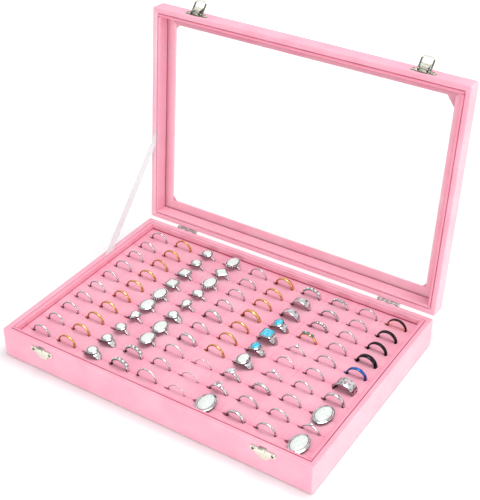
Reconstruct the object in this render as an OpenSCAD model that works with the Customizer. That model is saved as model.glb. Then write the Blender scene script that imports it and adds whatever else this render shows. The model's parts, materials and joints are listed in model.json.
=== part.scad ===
// Velvet-covered ring display box: a slotted tray for a hundred rings under a hinged lid with a
// glass window. Two toggle latches hold it shut, and a ribbon holds the lid open.
// X runs along the box, -Y is the latch side, and Z = 0 is the surface that it stands on.
// The rest position has the lid open.

/* [Box] */
// Outer width, left to right
box_w = 350; // [346:1:380]
// Outer depth, front to back
box_d = 244; // [242:1:260]
// Height of the base
base_h = 32.5; // [31:0.5:40]
// Height of the lid
lid_h = 17.5; // [16:0.5:22]
// Thickness of the covered side boards
wall = 6; // [5:0.1:7]
// Radius of the upright corners
corner_r = 2; // [1.2:0.2:3]
// Rounding of the velvet along the edges
edge_r = 1.2; // [0.6:0.1:1.5]
// Thickness of the sheet glued under the base
sheet_t = 0.8; // [0.5:0.1:1.5]
// How far that sheet stays inside the walls' outer faces
sheet_inset = 2; // [1:0.5:4]
// Thickness of the floor board
floor_t = 2.5; // [2:0.1:3]
// Play between the floor board and the walls
floor_play = 0.1; // [0.05:0.05:0.3]

/* [Linings] */
// Groove between a wall and its lining, which also takes the ribbon
groove = 0.4; // [0.3:0.05:0.6]
// Thickness of the lining strips at the base's front and back
liner_t = 2.4; // [2:0.1:2.8]
// Thickness of the lining strips at the base's sides
side_liner_t = 4; // [3:0.1:4.4]
// Thickness of the padded lining strips in the lid
lid_liner_t = 2.9; // [2.6:0.1:4]
// Rounding of the base lining's upper edge
liner_r = 0.9; // [0.4:0.1:1]
// Rounding of the lid lining's edge
lid_liner_r = 1.2; // [0.8:0.1:1.3]
// Gap where two lining strips meet
liner_joint = 0.2; // [0.1:0.05:0.4]

/* [Pad] */
// Depth of the pad's surface below the rim
pad_drop = 6.5; // [5:0.5:8]
// Rounding along the edges of each pad strip
pad_r = 1; // [0.6:0.1:2]
// Crown of each strip above its shoulders
crown = 0.5; // [0.3:0.1:0.8]
// Gap between neighbouring strips, and round the outside of the pad
strip_gap = 0.3; // [0.2:0.05:0.5]
// Extra width at the outer side of the two outer strips
side_margin = 2.5; // [2:0.5:5]
// Distance from the ends of the pad to the first and last half pitch of rows
end_margin = 3.5; // [3:0.5:5]
// Shift of all rows towards the back
row_shift = -1.2; // [-1.4:0.1:1.4]
// Length of a ring slot
slot_l = 24.5; // [24:0.5:27]
// Play between a ring and its slot
slot_play = 0.3; // [0.2:0.05:0.5]

/* [Lid] */
// Gap between the rims when the lid is shut
lid_gap = 0.4; // [0.3:0.05:0.6]
// Width of the border round the window
border_w = 19.5; // [16:0.5:28]
// Thickness of the border
border_t = 2; // [1.8:0.1:3]
// Thickness of the glass
glass_t = 1.5; // [1.2:0.1:2.2]
// Play between the glass and the walls
glass_play = 0.5; // [0.3:0.1:1]
// How far the lid stands open on the ribbon
open_angle = 94.5; // [80:0.5:100]

/* [Hinges] */
// Distance of each hinge from the side of the box
hinge_inset = 50.5; // [35:0.5:80]
// Width of a hinge
hinge_w = 25; // [20:1:36]
// Outer radius of the hinge's knuckles
knuckle_r = 1.3; // [1.2:0.1:2]
// Radius of the hinge pin
hinge_pin_r = 0.5; // [0.4:0.05:0.6]
// Play of the lid's knuckles on the pin
hinge_play = 0.05; // [0.02:0.01:0.08]
// Thickness of a hinge leaf
leaf_t = 0.8; // [0.6:0.1:1]
// Length of a leaf from the rim
leaf_l = 11.5; // [10:0.5:13]
// Gap between the knuckles and the box, and between neighbouring knuckles
knuckle_gap = 0.3; // [0.25:0.05:0.5]

/* [Latches] */
// Distance of each latch from the side of the box
latch_inset = 50; // [35:0.5:80]
// Distance between the two screws of a plate
screw_span = 20; // [18.5:0.5:22]
// Thickness of the latch and catch plates
plate_t = 0.7; // [0.5:0.05:0.8]
// Thickness of the stamped lever and its ears
lever_t = 0.6; // [0.5:0.05:0.7]
// Outer width of the lever
lever_w = 8.4; // [7.8:0.1:8.6]
// Height of the lever's pin above the lid's rim
lever_pin_z = 4; // [3.8:0.1:4.6]
// Distance of the lever's pin from the lid's face
lever_pin_u = 2.8; // [2.7:0.1:3.2]
// Distance along the lever from its pin to the loop's rivet
loop_offset = 4; // [3.8:0.1:4.4]
// Distance of the loop's rivet from the lid's face
loop_pin_u = 2.3; // [2.3:0.05:2.5]
// Length of the lever's sloping top
lever_l = 9.8; // [9:0.1:10]
// Opening of the lever's tip from the lid's face
lever_rise = 6.3; // [5.8:0.1:6.8]
// Width of the lever's turned-out tip
tip_w = 12; // [11.6:0.1:12.6]
// Length of that tip along the lever
tip_l = 0.7; // [0.5:0.05:1]
// Radius of the latch pins
pin_r = 0.5; // [0.4:0.05:0.6]
// Play of a turning piece on its pin
pin_play = 0.07; // [0.04:0.01:0.1]
// Clear width inside the loop
loop_w = 10.7; // [10.5:0.1:11.5]
// Width of the loop's stamped strip
loop_bar = 1.6; // [1.2:0.1:1.8]
// Thickness of the loop
loop_t = 1.2; // [1:0.1:1.3]
// Distance from the loop's rivet to the middle of its end bar
loop_l = 12.2; // [12:0.1:13]
// Space left round the loop's end bar in the hook
hook_play = 0.3; // [0.2:0.05:0.4]
// Width of the hook
hook_w = 7; // [6:0.1:8]
// How far a fully lifted lever has turned
lever_swing = 100; // [80:1:110]

/* [Screws] */
// Radius of a screw's shank
screw_r = 0.8; // [0.6:0.05:0.9]
// Length of a screw below its plate
screw_l = 3.9; // [3:0.1:4]
// Radius of a screw's head
head_r = 1.7; // [1.4:0.1:1.9]
// Height of a screw's head
head_h = 0.7; // [0.5:0.05:0.9]
// Play between a screw and its hole
screw_play = 0.1; // [0.05:0.05:0.2]

/* [Ribbon] */
// Width of the ribbon
ribbon_w = 10.5; // [8:0.5:14]
// Thickness of the ribbon
ribbon_t = 0.2; // [0.1:0.05:0.2]
// Place of the ribbon in the base's groove, behind the middle
ribbon_base_y = 38; // [30:1:60]
// Place of the ribbon in the lid's groove, behind the middle
ribbon_lid_y = 22; // [10:1:40]
// Length of ribbon glued into each groove
ribbon_tail = 9; // [6:0.5:10]

/* [Stones] */
// Wall of a setting round its stone
bezel_t = 0.8; // [0.6:0.05:0.9]
// Height of a setting
cup_h = 2.2; // [1.8:0.1:2.6]
// Depth of the stone in its setting
seat_h = 1.2; // [0.9:0.1:1.4]
// Play round a stone
stone_play = 0.05; // [0.03:0.01:0.1]
// Height of a stone's crown above its setting
dome_h = 1.3; // [0.8:0.1:1.8]

/* [Hidden] */
$fn = 64;

VELVET = "#f5a3b9";
LINING = "#ee8aa6";
NICKEL = "#d9d6c8";
STEEL = "#a9a9a6";

// One letter for each ring, back row first and left column first.
LAYOUT = [
  "sgrosGhisb",
  "sgrdsgvcsk",
  "sgqosgvxsk",
  "sgqasGumsK",
  "sgopwgUnsB",
  "sgofsgutse",
  "sgpowgznsw",
  "sgrolyDcsL",
  "sgfhsyDssn",
  "sgfhlyLcsL",
];

// Each style: letter, metal, outer diameter, width, thickness, height above the pad,
// width at the top where the shank flares (0: none), setting, its half width and half length, stone.
STYLES = [
  ["s", "silver", 21, 1.9, 1.1, 9.8, 0, "none", 0, 0, ""],
  ["l", "silver", 22.6, 1.9, 1.1, 11.4, 0, "none", 0, 0, ""],
  ["w", "silver", 21.4, 3.6, 1.2, 10, 0, "none", 0, 0, ""],
  ["t", "silver", 20.4, 1.2, 0.9, 9, 0, "none", 0, 0, ""],
  ["y", "silver", 20, 1, 0.8, 7.6, 0, "none", 0, 0, ""],
  ["c", "silver", 20.6, 3, 1.5, 8.4, 0, "none", 0, 0, ""],
  ["x", "silver", 20.6, 3.4, 1.3, 8.4, 0, "none", 0, 0, ""],
  ["e", "silver", 22, 11, 1.4, 9.6, 0, "none", 0, 0, ""],
  ["g", "gold", 21.4, 2.4, 1.3, 10, 0, "none", 0, 0, ""],
  ["G", "gold", 21.8, 3.8, 1.4, 10, 0, "none", 0, 0, ""],
  ["m", "gold", 21, 2.6, 1.3, 8.6, 0, "row", 1.5, 2.1, "green"],
  ["b", "black", 21.6, 3.2, 1.5, 9.6, 0, "none", 0, 0, ""],
  ["k", "black", 21.6, 3.6, 1.6, 9.6, 0, "none", 0, 0, ""],
  ["K", "black", 21.8, 5, 1.7, 9.8, 0, "none", 0, 0, ""],
  ["B", "blue", 21.4, 3.4, 1.4, 9.4, 0, "none", 0, 0, ""],
  ["r", "setting", 21.6, 2.2, 1.1, 5.2, 0, "round", 4.8, 4.8, "white"],
  ["q", "setting", 21.6, 2.2, 1.1, 5.2, 0, "square", 5, 5.4, "white"],
  ["d", "setting", 21.6, 2.2, 1.1, 5.2, 0, "turned", 5, 5, "white"],
  ["a", "setting", 21.6, 2.2, 1.1, 5.2, 0, "round", 5.2, 4.6, "white"],
  ["o", "setting", 21.6, 2.4, 1.1, 4.8, 0, "oval", 6, 8.6, "white"],
  ["p", "setting", 21.6, 2.2, 1.1, 5.2, 0, "pear", 4.6, 6.2, "white"],
  ["f", "setting", 21.8, 2.6, 1.2, 5.8, 9, "round", 4.6, 4.9, "white"],
  ["h", "setting", 22, 3.4, 1.2, 9, 0, "row", 1.9, 1.9, "white"],
  ["i", "setting", 21, 2.8, 1.2, 8, 0, "row", 1.5, 1.5, "clear"],
  ["v", "setting", 22, 3, 1.3, 9, 9, "none", 0, 0, ""],
  ["u", "setting", 22, 3, 1.3, 7.4, 9, "oval", 3.9, 5.2, "turquoise"],
  ["U", "setting", 22.4, 3.4, 1.4, 8.4, 12, "square", 5.4, 5.8, "turquoise"],
  ["z", "setting", 22.4, 3.4, 1.4, 7, 10, "oval", 5, 7.4, "white"],
  ["D", "setting", 21.6, 2.6, 1.3, 7.2, 0, "round", 4, 4, "clear"],
  ["n", "setting", 20.6, 1.8, 1, 6.6, 0, "round", 2.1, 2.1, "clear"],
  ["L", "setting", 19.4, 3.2, 1.2, 1.9, 0, "oval", 7.4, 12, "white"],
];

left = -1;
right = 1;
cols = len(LAYOUT[0]);
rows = len(LAYOUT);
pad_top = base_h - pad_drop;
floor_top = sheet_t + floor_t;
tray_w = box_w - 2 * (wall + groove + side_liner_t);
tray_d = box_d - 2 * (wall + groove + liner_t);
col_pitch = (tray_w - 2 * (side_margin + strip_gap)) / cols;
row_pitch = (tray_d - 2 * end_margin) / rows;

hinge_x = box_w / 2 - hinge_inset;
latch_x = box_w / 2 - latch_inset;
lid_in_w = box_w - 2 * wall;
lid_in_d = box_d - 2 * wall;
window_w = box_w - 2 * border_w;
window_d = box_d - 2 * border_w;
lid_rim = base_h + lid_gap;

hinge_y = box_d / 2 + knuckle_r + knuckle_gap;
hinge_z = base_h + lid_gap / 2;
knuckles = 5;
knuckle_l = (hinge_w - (knuckles - 1) * knuckle_gap) / knuckles;
leaf_screw_z = leaf_l - 3.4;
leaf_screw_x = hinge_w / 2 - 4.2;

// Latch sizes are (u, z): u outwards from the lid's front face, z upwards from the lid's rim.
lever_pin = [lever_pin_u, lever_pin_z];
loop_pin = [loop_pin_u, lever_pin_z + loop_offset];
lever_foot = [lever_pin_u + 1.2, lever_pin_z - 1];
lever_tip = [lever_rise, lever_foot[1] + sqrt(pow(lever_l, 2) - pow(lever_rise - lever_foot[0], 2))];
lever_run = (lever_tip - lever_foot) / lever_l;
lever_into = [-lever_run[1], lever_run[0]] * lever_t;
// The loop leans on the near edge of the lever's tip when the latch is undone.
tip_edge = lever_tip - tip_l * lever_run - loop_pin;
loop_seat_gap = 0.08;
loop_rest = atan2(tip_edge[0], tip_edge[1]) + asin((loop_t / 2 + loop_seat_gap) / norm(tip_edge));
loop_swing = 180 - loop_rest;
ear_x = lever_w / 2 + 0.2;
lever_pin_l = 2 * (ear_x + lever_t) + 0.2;
loop_pin_l = loop_w + 2 * loop_bar + 0.6;
latch_plate_z = 6.2;
latch_plate_h = 7.4;
// Heights on the base's front face, measured down from its rim.
hook_bar_z = lid_gap + lever_pin_z + loop_offset - loop_l;
hook_roof_z = hook_bar_z + loop_bar / 2 + hook_play;
hook_lip_u = loop_pin_u + loop_t / 2 + hook_play;
hook_t = 0.8;
catch_screw_z = -7.4;
catch_top_z = -4.2;
catch_low_z = -16;

function col_x(c) = (c - (cols - 1) / 2) * col_pitch;
function row_y(r) = row_shift + ((rows - 1) / 2 - r) * row_pitch;
function style_at(r, c) = [for (s = STYLES) if (s[0] == LAYOUT[r][c]) s][0];
function metal(s) = s[1];
function ring_od(s) = s[2];
function ring_w(s) = s[3];
function ring_t(s) = s[4];
function ring_top(s) = s[5];
function flare_w(s) = s[6];
function setting(s) = s[7];
function half_w(s) = s[8];
function half_l(s) = s[9];
function stone(s) = s[10];
function ring_sink(s) = ring_od(s) / 2 - ring_top(s);
function soft(v) = sign(v) * pow(abs(v), 0.4);

// The outline of a stone or its setting, as points.
function outline(kind, a, b) = [
  for (i = [0:27])
    let (t = i * 360 / 28)
    kind == "square" || kind == "turned" ? [a * soft(cos(t)), b * soft(sin(t))] :
    kind == "pear" ? [1.28 * a * sin(t) * pow(sin(t / 2), 1.4), -b * cos(t)] :
    [a * cos(t), b * sin(t)]
];

// ---- Shapes shared by the covered boards ----

// A board's section, centred on x, with its lower and upper edges rounded.
module bar_profile(w, z0, z1, low, high) {
  translate([-w / 2, z0 + low]) square([w, z1 - z0 - low - high]);
  for (e = [[low, z0 + low, z0], [high, z1 - high, z1 - high]]) {
    if (e[0] > 0) {
      translate([-w / 2 + e[0], e[2]]) square([w - 2 * e[0], e[0]]);
      for (s = [-1, 1]) translate([s * (w / 2 - e[0]), e[1]]) circle(e[0]);
    }
  }
}

// A hollow's section, centred on x, whose mouth at z1 is rounded over.
module hollow_profile(w, z0, z1, mouth) {
  translate([-w / 2, z0]) square([w, z1 - z0 + 1]);
  difference() {
    translate([-w / 2 - mouth, z1 - mouth]) square([w + 2 * mouth, mouth + 1]);
    for (s = [-1, 1]) translate([s * (w / 2 + mouth), z1 - mouth]) circle(mouth);
  }
}

// The block or hollow that has one section across the box and the other along it.
module cross_block(w, d) {
  intersection() {
    rotate([90, 0, 0]) linear_extrude(d, center = true) children(0);
    rotate([90, 0, 90]) linear_extrude(w, center = true) children(1);
  }
}

module rounded_block(w, d, z0, z1, low, high) {
  cross_block(w, d) {
    bar_profile(w, z0, z1, low, high);
    bar_profile(d, z0, z1, low, high);
  }
}

module hollow_block(w, d, z0, z1, mouth) {
  cross_block(w + 2 * mouth + 2, d + 2 * mouth + 2) {
    hollow_profile(w, z0, z1, mouth);
    hollow_profile(d, z0, z1, mouth);
  }
}

module plan(w, d, r) {
  square([w - 2 * r, d], center = true);
  square([w, d - 2 * r], center = true);
  for (x = [-1, 1], y = [-1, 1]) translate([x * (w / 2 - r), y * (d / 2 - r)]) circle(r);
}

// Four strips that line a rim of inner size w by d, from z0 to z1, with their edge rounded at z1.
// The ones at the front and back are t thick, the ones at the sides side_t.
module lining(w, d, t, side_t, z0, z1, r) {
  for (s = [-1, 1]) {
    translate([0, s * (d - t) / 2, 0]) rotate([90, 0, 90])
      linear_extrude(w, center = true) bar_profile(t, z0, z1, 0, r);
    translate([s * (w - side_t) / 2, 0, 0]) rotate([90, 0, 0])
      linear_extrude(d - 2 * t - 2 * liner_joint, center = true) bar_profile(side_t, z0, z1, 0, r);
  }
}

// ---- Places ----

// Pieces of the lid are drawn shut, and turned up about the hinge pins.
module on_lid() {
  translate([0, hinge_y, hinge_z]) rotate([-open_angle, 0, 0])
    translate([0, -hinge_y, -hinge_z]) children();
}

// The front face: drawn as x, z outlines that are extruded outwards.
module on_front(x, z) {
  translate([x, -box_d / 2, z]) children();
}

module outwards(t, start = 0) {
  translate([0, -start, 0]) rotate([90, 0, 0]) linear_extrude(t) children();
}

// A (u, z) section extruded along x, with u pointing out of the front face.
module across(l, x = 0) {
  translate([x, 0, 0]) rotate([90, 0, -90]) linear_extrude(l, center = true) children();
}

module on_back(x) {
  translate([x, box_d / 2, base_h]) children();
}

// A screw that points into the front (1) or back (-1) face, with its head on a plate of thickness t.
module screw(t, side) {
  rotate([side * 90, 0, 0]) {
    translate([0, 0, -screw_l]) cylinder(screw_l + t + head_h / 2, r = screw_r);
    translate([0, 0, t]) cylinder(head_h * 0.6, r = head_r);
    translate([0, 0, t + head_h * 0.6]) cylinder(head_h * 0.4, r1 = head_r, r2 = head_r * 0.8);
  }
}

module screw_hole(l, side) {
  rotate([side * 90, 0, 0]) translate([0, 0, -l]) cylinder(l + 2, r = screw_r + screw_play);
}

module front_screw_places(z) {
  for (s = [-1, 1], e = [-1, 1]) on_front(s * latch_x + e * screw_span / 2, z) children();
}

module back_screw_places(up) {
  for (s = [-1, 1], e = [-1, 1])
    on_back(s * hinge_x + e * leaf_screw_x) translate([0, 0, up * leaf_screw_z]) children();
}

// ---- Base ----

module base_walls() {
  color(VELVET) difference() {
    intersection() {
      rounded_block(box_w, box_d, sheet_t, base_h, edge_r, edge_r);
      linear_extrude(base_h + 1) plan(box_w, box_d, corner_r);
    }
    hollow_block(box_w - 2 * wall, box_d - 2 * wall, -1, base_h, edge_r);
    front_screw_places(base_h + catch_screw_z) screw_hole(wall - 0.3, 1);
    back_screw_places(-1) screw_hole(wall - 0.3, -1);
  }
}

module floor_board() {
  color(LINING) translate([0, 0, sheet_t])
    linear_extrude(floor_t)
      square([box_w - 2 * (wall + floor_play), box_d - 2 * (wall + floor_play)], center = true);
}

module underside_sheet() {
  color("#e9c9cf") linear_extrude(sheet_t)
    plan(box_w - 2 * sheet_inset, box_d - 2 * sheet_inset, corner_r);
}

module base_liner() {
  color(LINING)
    lining(box_w - 2 * (wall + groove), box_d - 2 * (wall + groove), liner_t, side_liner_t,
           floor_top, base_h, liner_r);
}

// ---- Pad ----

function strip_x0(c) = c == 0 ? -tray_w / 2 + strip_gap : col_x(c) - (col_pitch - strip_gap) / 2;
function strip_x1(c) = c == cols - 1 ? tray_w / 2 - strip_gap : col_x(c) + (col_pitch - strip_gap) / 2;

module strip_profile(w, z0, z1) {
  crown_r = (pow(w / 2, 2) + pow(crown, 2)) / (2 * crown);
  intersection() {
    bar_profile(w, z0, z1, 0, pad_r);
    translate([0, z1 - crown_r]) circle(crown_r, $fn = 720);
  }
}

// One foam strip in velvet, with a slot for each of its rings.
module pad_strip(c) {
  w = strip_x1(c) - strip_x0(c);
  d = tray_d - 2 * strip_gap;
  color(VELVET) difference() {
    translate([(strip_x0(c) + strip_x1(c)) / 2, 0, 0]) cross_block(w, d) {
      strip_profile(w, floor_top, pad_top);
      bar_profile(d, floor_top, pad_top, 0, pad_r);
    }
    for (r = [0:rows - 1]) ring_slot(r, c);
  }
}

module ring_slot(r, c) {
  s = style_at(r, c);
  depth = ring_od(s) - ring_top(s) + slot_play;
  translate([col_x(c) - slot_l / 2, row_y(r) - ring_w(s) / 2 - slot_play, pad_top - depth])
    cube([slot_l, ring_w(s) + 2 * slot_play, depth + 5]);
}

// ---- Rings ----

// A shank with a domed outer face; its axis lies along y and its centre at the origin.
module shank(s, w) {
  dome = 0.25;
  dome_r = (pow(w / 2, 2) + pow(dome, 2)) / (2 * dome);
  rotate([90, 0, 0]) rotate_extrude($fn = 96) intersection() {
    translate([ring_od(s) / 2 - ring_t(s), -w / 2]) square([ring_t(s), w]);
    translate([ring_od(s) / 2 - dome_r, 0]) circle(dome_r, $fn = 360);
  }
}

// What is left of a flared shank: full width at the top, narrow from the pad's surface down.
module flare_cut(s) {
  low = ring_w(s) / 2;
  high = flare_w(s) / 2;
  across(ring_od(s) + 1) polygon([
    [-low, -ring_od(s)], [low, -ring_od(s)], [low, ring_sink(s) + 0.3],
    [high, ring_od(s) / 2 + 0.1], [-high, ring_od(s) / 2 + 0.1], [-low, ring_sink(s) + 0.3],
  ]);
}

module shank_of(s) {
  if (flare_w(s) > 0) {
    intersection() {
      shank(s, flare_w(s));
      flare_cut(s);
    }
  } else {
    shank(s, ring_w(s));
  }
}

// A cup that holds one stone, on top of the shank.
module cup(s) {
  turn = setting(s) == "turned" ? 45 : 0;
  translate([0, 0, ring_od(s) / 2 - 0.6]) rotate(turn) difference() {
    linear_extrude(cup_h) polygon(outline(setting(s), half_w(s) + bezel_t, half_l(s) + bezel_t));
    translate([0, 0, cup_h - seat_h])
      linear_extrude(cup_h)
        polygon(outline(setting(s), half_w(s) + stone_play, half_l(s) + stone_play));
  }
}

module cup_stone(s) {
  turn = setting(s) == "turned" ? 45 : 0;
  reach = max(half_w(s), half_l(s));
  dome_r = (pow(reach, 2) + pow(dome_h, 2)) / (2 * dome_h);
  h = seat_h - stone_play + dome_h;
  translate([0, 0, ring_od(s) / 2 - 0.6 + cup_h - seat_h + stone_play]) rotate(turn) intersection() {
    linear_extrude(h) polygon(outline(setting(s), half_w(s), half_l(s)));
    translate([0, 0, h - dome_r]) sphere(dome_r, $fn = 120);
  }
}

// A line of stones over the top of the shank, each on its own flat seat.
module stone_row(s, count) {
  step = 2 * half_w(s) / (ring_od(s) / 2) * 57.3 * 1.12;
  for (i = [0:count - 1])
    rotate([0, (i - (count - 1) / 2) * step, 0])
      translate([0, 0, ring_od(s) / 2 + stone_play])
        linear_extrude(1.3) polygon(outline(stone(s) == "green" ? "oval" : "square", half_w(s), half_l(s)));
}

// A ring stands against the right-hand end of its slot.
module at_ring(r, c) {
  s = style_at(r, c);
  translate([col_x(c) + slot_l / 2 - slot_play - ring_od(s) / 2, row_y(r), pad_top - ring_sink(s)])
    children();
}

module ring_metal(s) {
  if (setting(s) == "none" || setting(s) == "row") {
    shank_of(s);
  } else {
    union() {
      shank_of(s);
      cup(s);
    }
  }
}

module rings_of(kind) {
  for (r = [0:rows - 1], c = [0:cols - 1])
    if (metal(style_at(r, c)) == kind) at_ring(r, c) ring_metal(style_at(r, c));
}

module stones_of(kind) {
  for (r = [0:rows - 1], c = [0:cols - 1]) {
    s = style_at(r, c);
    if (stone(s) == kind) at_ring(r, c) {
      if (setting(s) == "row") stone_row(s, kind == "green" ? 3 : 5);
      else cup_stone(s);
    }
  }
}

module silver_rings() { color("#c9c9cc") rings_of("silver"); }
module gold_rings() { color("#e0a44a") rings_of("gold"); }
module black_rings() { color("#202024") rings_of("black"); }
module blue_ring() { color("#2456b8") rings_of("blue"); }
module stone_ring_settings() { color("#b9bab8") rings_of("setting"); }
module white_stones() { color("#f4f6f2") stones_of("white"); }
module turquoise_stones() { color("#3fc4dd") stones_of("turquoise"); }
module clear_stones() { color("#dfe8ee") stones_of("clear"); }
module green_stones() { color("#2f6f62") stones_of("green"); }

// ---- Catches on the base ----

module plate_ends(z, r) {
  for (s = [-1, 1]) translate([s * screw_span / 2, z]) circle(r);
}

// Straight top, rounded screw ends and a shield that hangs down in the middle.
module catch_outline() {
  end_r = catch_top_z - catch_screw_z;
  belly_r = 8;
  plate_ends(catch_screw_z, end_r);
  translate([-screw_span / 2, catch_screw_z - end_r]) square([screw_span, 2 * end_r]);
  intersection() {
    translate([0, catch_low_z + belly_r]) circle(belly_r);
    translate([-belly_r, catch_low_z]) square([2 * belly_r, catch_top_z - catch_low_z - 1]);
  }
}

module catch_plate(side) {
  color(NICKEL) on_front(side * latch_x, base_h) {
    difference() {
      outwards(plate_t) union() {
        catch_outline();
        translate([-hook_w / 2, catch_screw_z]) square([hook_w, hook_roof_z + hook_t - catch_screw_z]);
      }
      for (s = [-1, 1]) translate([s * screw_span / 2, 0, catch_screw_z]) screw_hole(2, 1);
    }
    across(hook_w) {
      translate([plate_t / 2, hook_roof_z]) square([hook_lip_u + hook_t - plate_t / 2, hook_t]);
      translate([hook_lip_u, hook_bar_z - loop_bar / 2 - 0.6])
        square([hook_t, hook_roof_z - hook_bar_z + loop_bar / 2 + 1]);
    }
  }
}

module catch_screws() {
  color(STEEL) front_screw_places(base_h + catch_screw_z) screw(plate_t, 1);
}

// ---- Hinges ----

function knuckle_x(i) = -hinge_w / 2 + i * (knuckle_l + knuckle_gap);

// A leaf with its own knuckles: up is -1 for the base's leaf and 1 for the lid's.
module hinge_leaf(up, first, bore) {
  pin = [knuckle_r + knuckle_gap, lid_gap / 2];
  near = pin[1] + up * (knuckle_r + knuckle_gap);
  far = up * leaf_l;
  difference() {
    union() {
      translate([-hinge_w / 2, 0, min(near, far)]) cube([hinge_w, leaf_t, abs(far - near)]);
      for (i = [first:2:knuckles - 1]) {
        translate([knuckle_x(i), pin[0], pin[1]]) rotate([0, 90, 0]) cylinder(knuckle_l, r = knuckle_r);
        translate([knuckle_x(i), 0, min(near, pin[1])])
          cube([knuckle_l, leaf_t, abs(near - pin[1]) + 0.01]);
        translate([knuckle_x(i), knuckle_gap, pin[1] + (up < 0 ? -knuckle_r : 0)])
          cube([knuckle_l, knuckle_r, knuckle_r]);
      }
    }
    translate([-hinge_w / 2 - 1, pin[0], pin[1]]) rotate([0, 90, 0]) cylinder(hinge_w + 2, r = bore);
    for (e = [-1, 1]) translate([e * leaf_screw_x, 0, up * leaf_screw_z]) screw_hole(2, -1);
  }
}

module hinge_base_leaves() {
  color(STEEL) for (s = [-1, 1]) on_back(s * hinge_x) hinge_leaf(-1, 0, hinge_pin_r + 0.02);
}

module hinge_pins() {
  color("#8d8d8b") for (s = [-1, 1])
    translate([s * hinge_x, hinge_y, hinge_z]) rotate([0, 90, 0])
      cylinder(hinge_w, r = hinge_pin_r, center = true);
}

module hinge_base_screws() {
  color(STEEL) back_screw_places(-1) screw(leaf_t, -1);
}

module hinge_lid_leaves() {
  color(STEEL) on_lid() for (s = [-1, 1]) on_back(s * hinge_x) hinge_leaf(1, 1, hinge_pin_r + hinge_play);
}

module hinge_lid_screws() {
  color(STEEL) on_lid() back_screw_places(1) screw(leaf_t, -1);
}

// ---- Ribbon ----

function lid_open(p) = let (y = p[0] - hinge_y, z = p[1] - hinge_z) [
  hinge_y + y * cos(open_angle) + z * sin(open_angle),
  hinge_z - y * sin(open_angle) + z * cos(open_angle),
];

// Straight and taut between the two grooves on the left, with its tails glued inside them.
module lid_stay_ribbon() {
  from = [ribbon_base_y, base_h];
  to = lid_open([ribbon_lid_y, lid_rim]);
  run = to - from;
  color("#fbf8f6") translate([-box_w / 2 + wall + groove / 2, from[0], from[1]])
    rotate([90, 0, 90]) linear_extrude(ribbon_t, center = true)
      rotate(atan2(run[1], run[0])) translate([-ribbon_tail, -ribbon_w / 2])
        square([norm(run) + 2 * ribbon_tail, ribbon_w]);
}

// ---- Lid ----

module lid_frame() {
  color(VELVET) on_lid() difference() {
    intersection() {
      rounded_block(box_w, box_d, lid_rim, lid_rim + lid_h, edge_r, edge_r);
      linear_extrude(base_h + 2 * lid_h) plan(box_w, box_d, corner_r);
    }
    mirror([0, 0, 1]) hollow_block(lid_in_w, lid_in_d, -lid_rim - lid_h + border_t, -lid_rim, edge_r);
    hollow_block(window_w, window_d, lid_rim, lid_rim + lid_h, edge_r);
    front_screw_places(lid_rim + latch_plate_z) screw_hole(wall - 0.3, 1);
    back_screw_places(1) screw_hole(wall - 0.3, -1);
  }
}

module lid_liner() {
  color(LINING) on_lid() mirror([0, 0, 1])
    lining(lid_in_w - 2 * groove, lid_in_d - 2 * groove, lid_liner_t, lid_liner_t,
           -lid_rim - lid_h + border_t + glass_t, -lid_rim, lid_liner_r);
}

module window_pane() {
  color("#eef4f6", 0.3) on_lid() translate([0, 0, lid_rim + lid_h - border_t - glass_t])
    linear_extrude(glass_t) square([lid_in_w - 2 * glass_play, lid_in_d - 2 * glass_play], center = true);
}

// ---- Latches on the lid ----

// Rounded screw ends and a straight middle.
module latch_outline() {
  end_r = 2.9;
  neck = 2 * end_r - 0.8;
  plate_ends(0, end_r);
  translate([-screw_span / 2, -neck / 2]) square([screw_span, neck]);
  translate([-ear_x - lever_t - 1.4, -latch_plate_h / 2]) square([2 * (ear_x + lever_t + 1.4), latch_plate_h]);
}

module ear_profile() {
  circle_r = 1.5;
  translate(lever_pin) circle(circle_r);
  translate([plate_t / 2, lever_pin[1] - circle_r]) square([lever_pin[0] - plate_t / 2, 2 * circle_r]);
}

module latch_plate(side) {
  color(NICKEL) on_lid() on_front(side * latch_x, lid_rim) difference() {
    union() {
      translate([0, 0, latch_plate_z]) outwards(plate_t) latch_outline();
      for (s = [-1, 1]) across(lever_t, s * (ear_x + lever_t / 2)) ear_profile();
    }
    across(lever_pin_l + 2) translate(lever_pin) circle(pin_r + 0.02);
    for (s = [-1, 1]) translate([s * screw_span / 2, 0, latch_plate_z]) screw_hole(2, 1);
  }
}

module latch_screws() {
  color(STEEL) on_lid() front_screw_places(lid_rim + latch_plate_z) screw(plate_t, 1);
}

module lever_pins() {
  color(STEEL) on_lid() for (s = [-1, 1]) on_front(s * latch_x, lid_rim)
    across(lever_pin_l) translate(lever_pin) circle(pin_r);
}

// A cheek: round at the lever's pin, and rising to the tip.
module cheek_profile() {
  translate(lever_pin) circle(1.3);
  translate(loop_pin) circle(1.1);
  polygon([
    lever_foot, lever_pin - [1.3, 0], loop_pin - [1.1, 0], loop_pin + [-1.1, 1],
    lever_tip - [1.6, 0.6], lever_tip,
  ]);
}

// The lever's sloping top, as thick as its sheet.
module top_profile() {
  polygon([lever_foot, lever_tip, lever_tip + lever_into, lever_foot + lever_into]);
}

// The turned-out tip that the loop leans on.
module tip_profile() {
  back = lever_run * tip_l;
  polygon([lever_tip - back, lever_tip, lever_tip + lever_into, lever_tip + lever_into - back]);
}

module lever(side) {
  color(NICKEL) on_lid() on_front(side * latch_x, lid_rim) difference() {
    union() {
      for (s = [-1, 1]) across(lever_t, s * (lever_w - lever_t) / 2) cheek_profile();
      across(lever_w) top_profile();
      across(tip_w) tip_profile();
    }
    across(lever_w + 2) translate(lever_pin) circle(pin_r + pin_play);
    across(lever_w + 2) translate(loop_pin) circle(pin_r + 0.02);
  }
}

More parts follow.
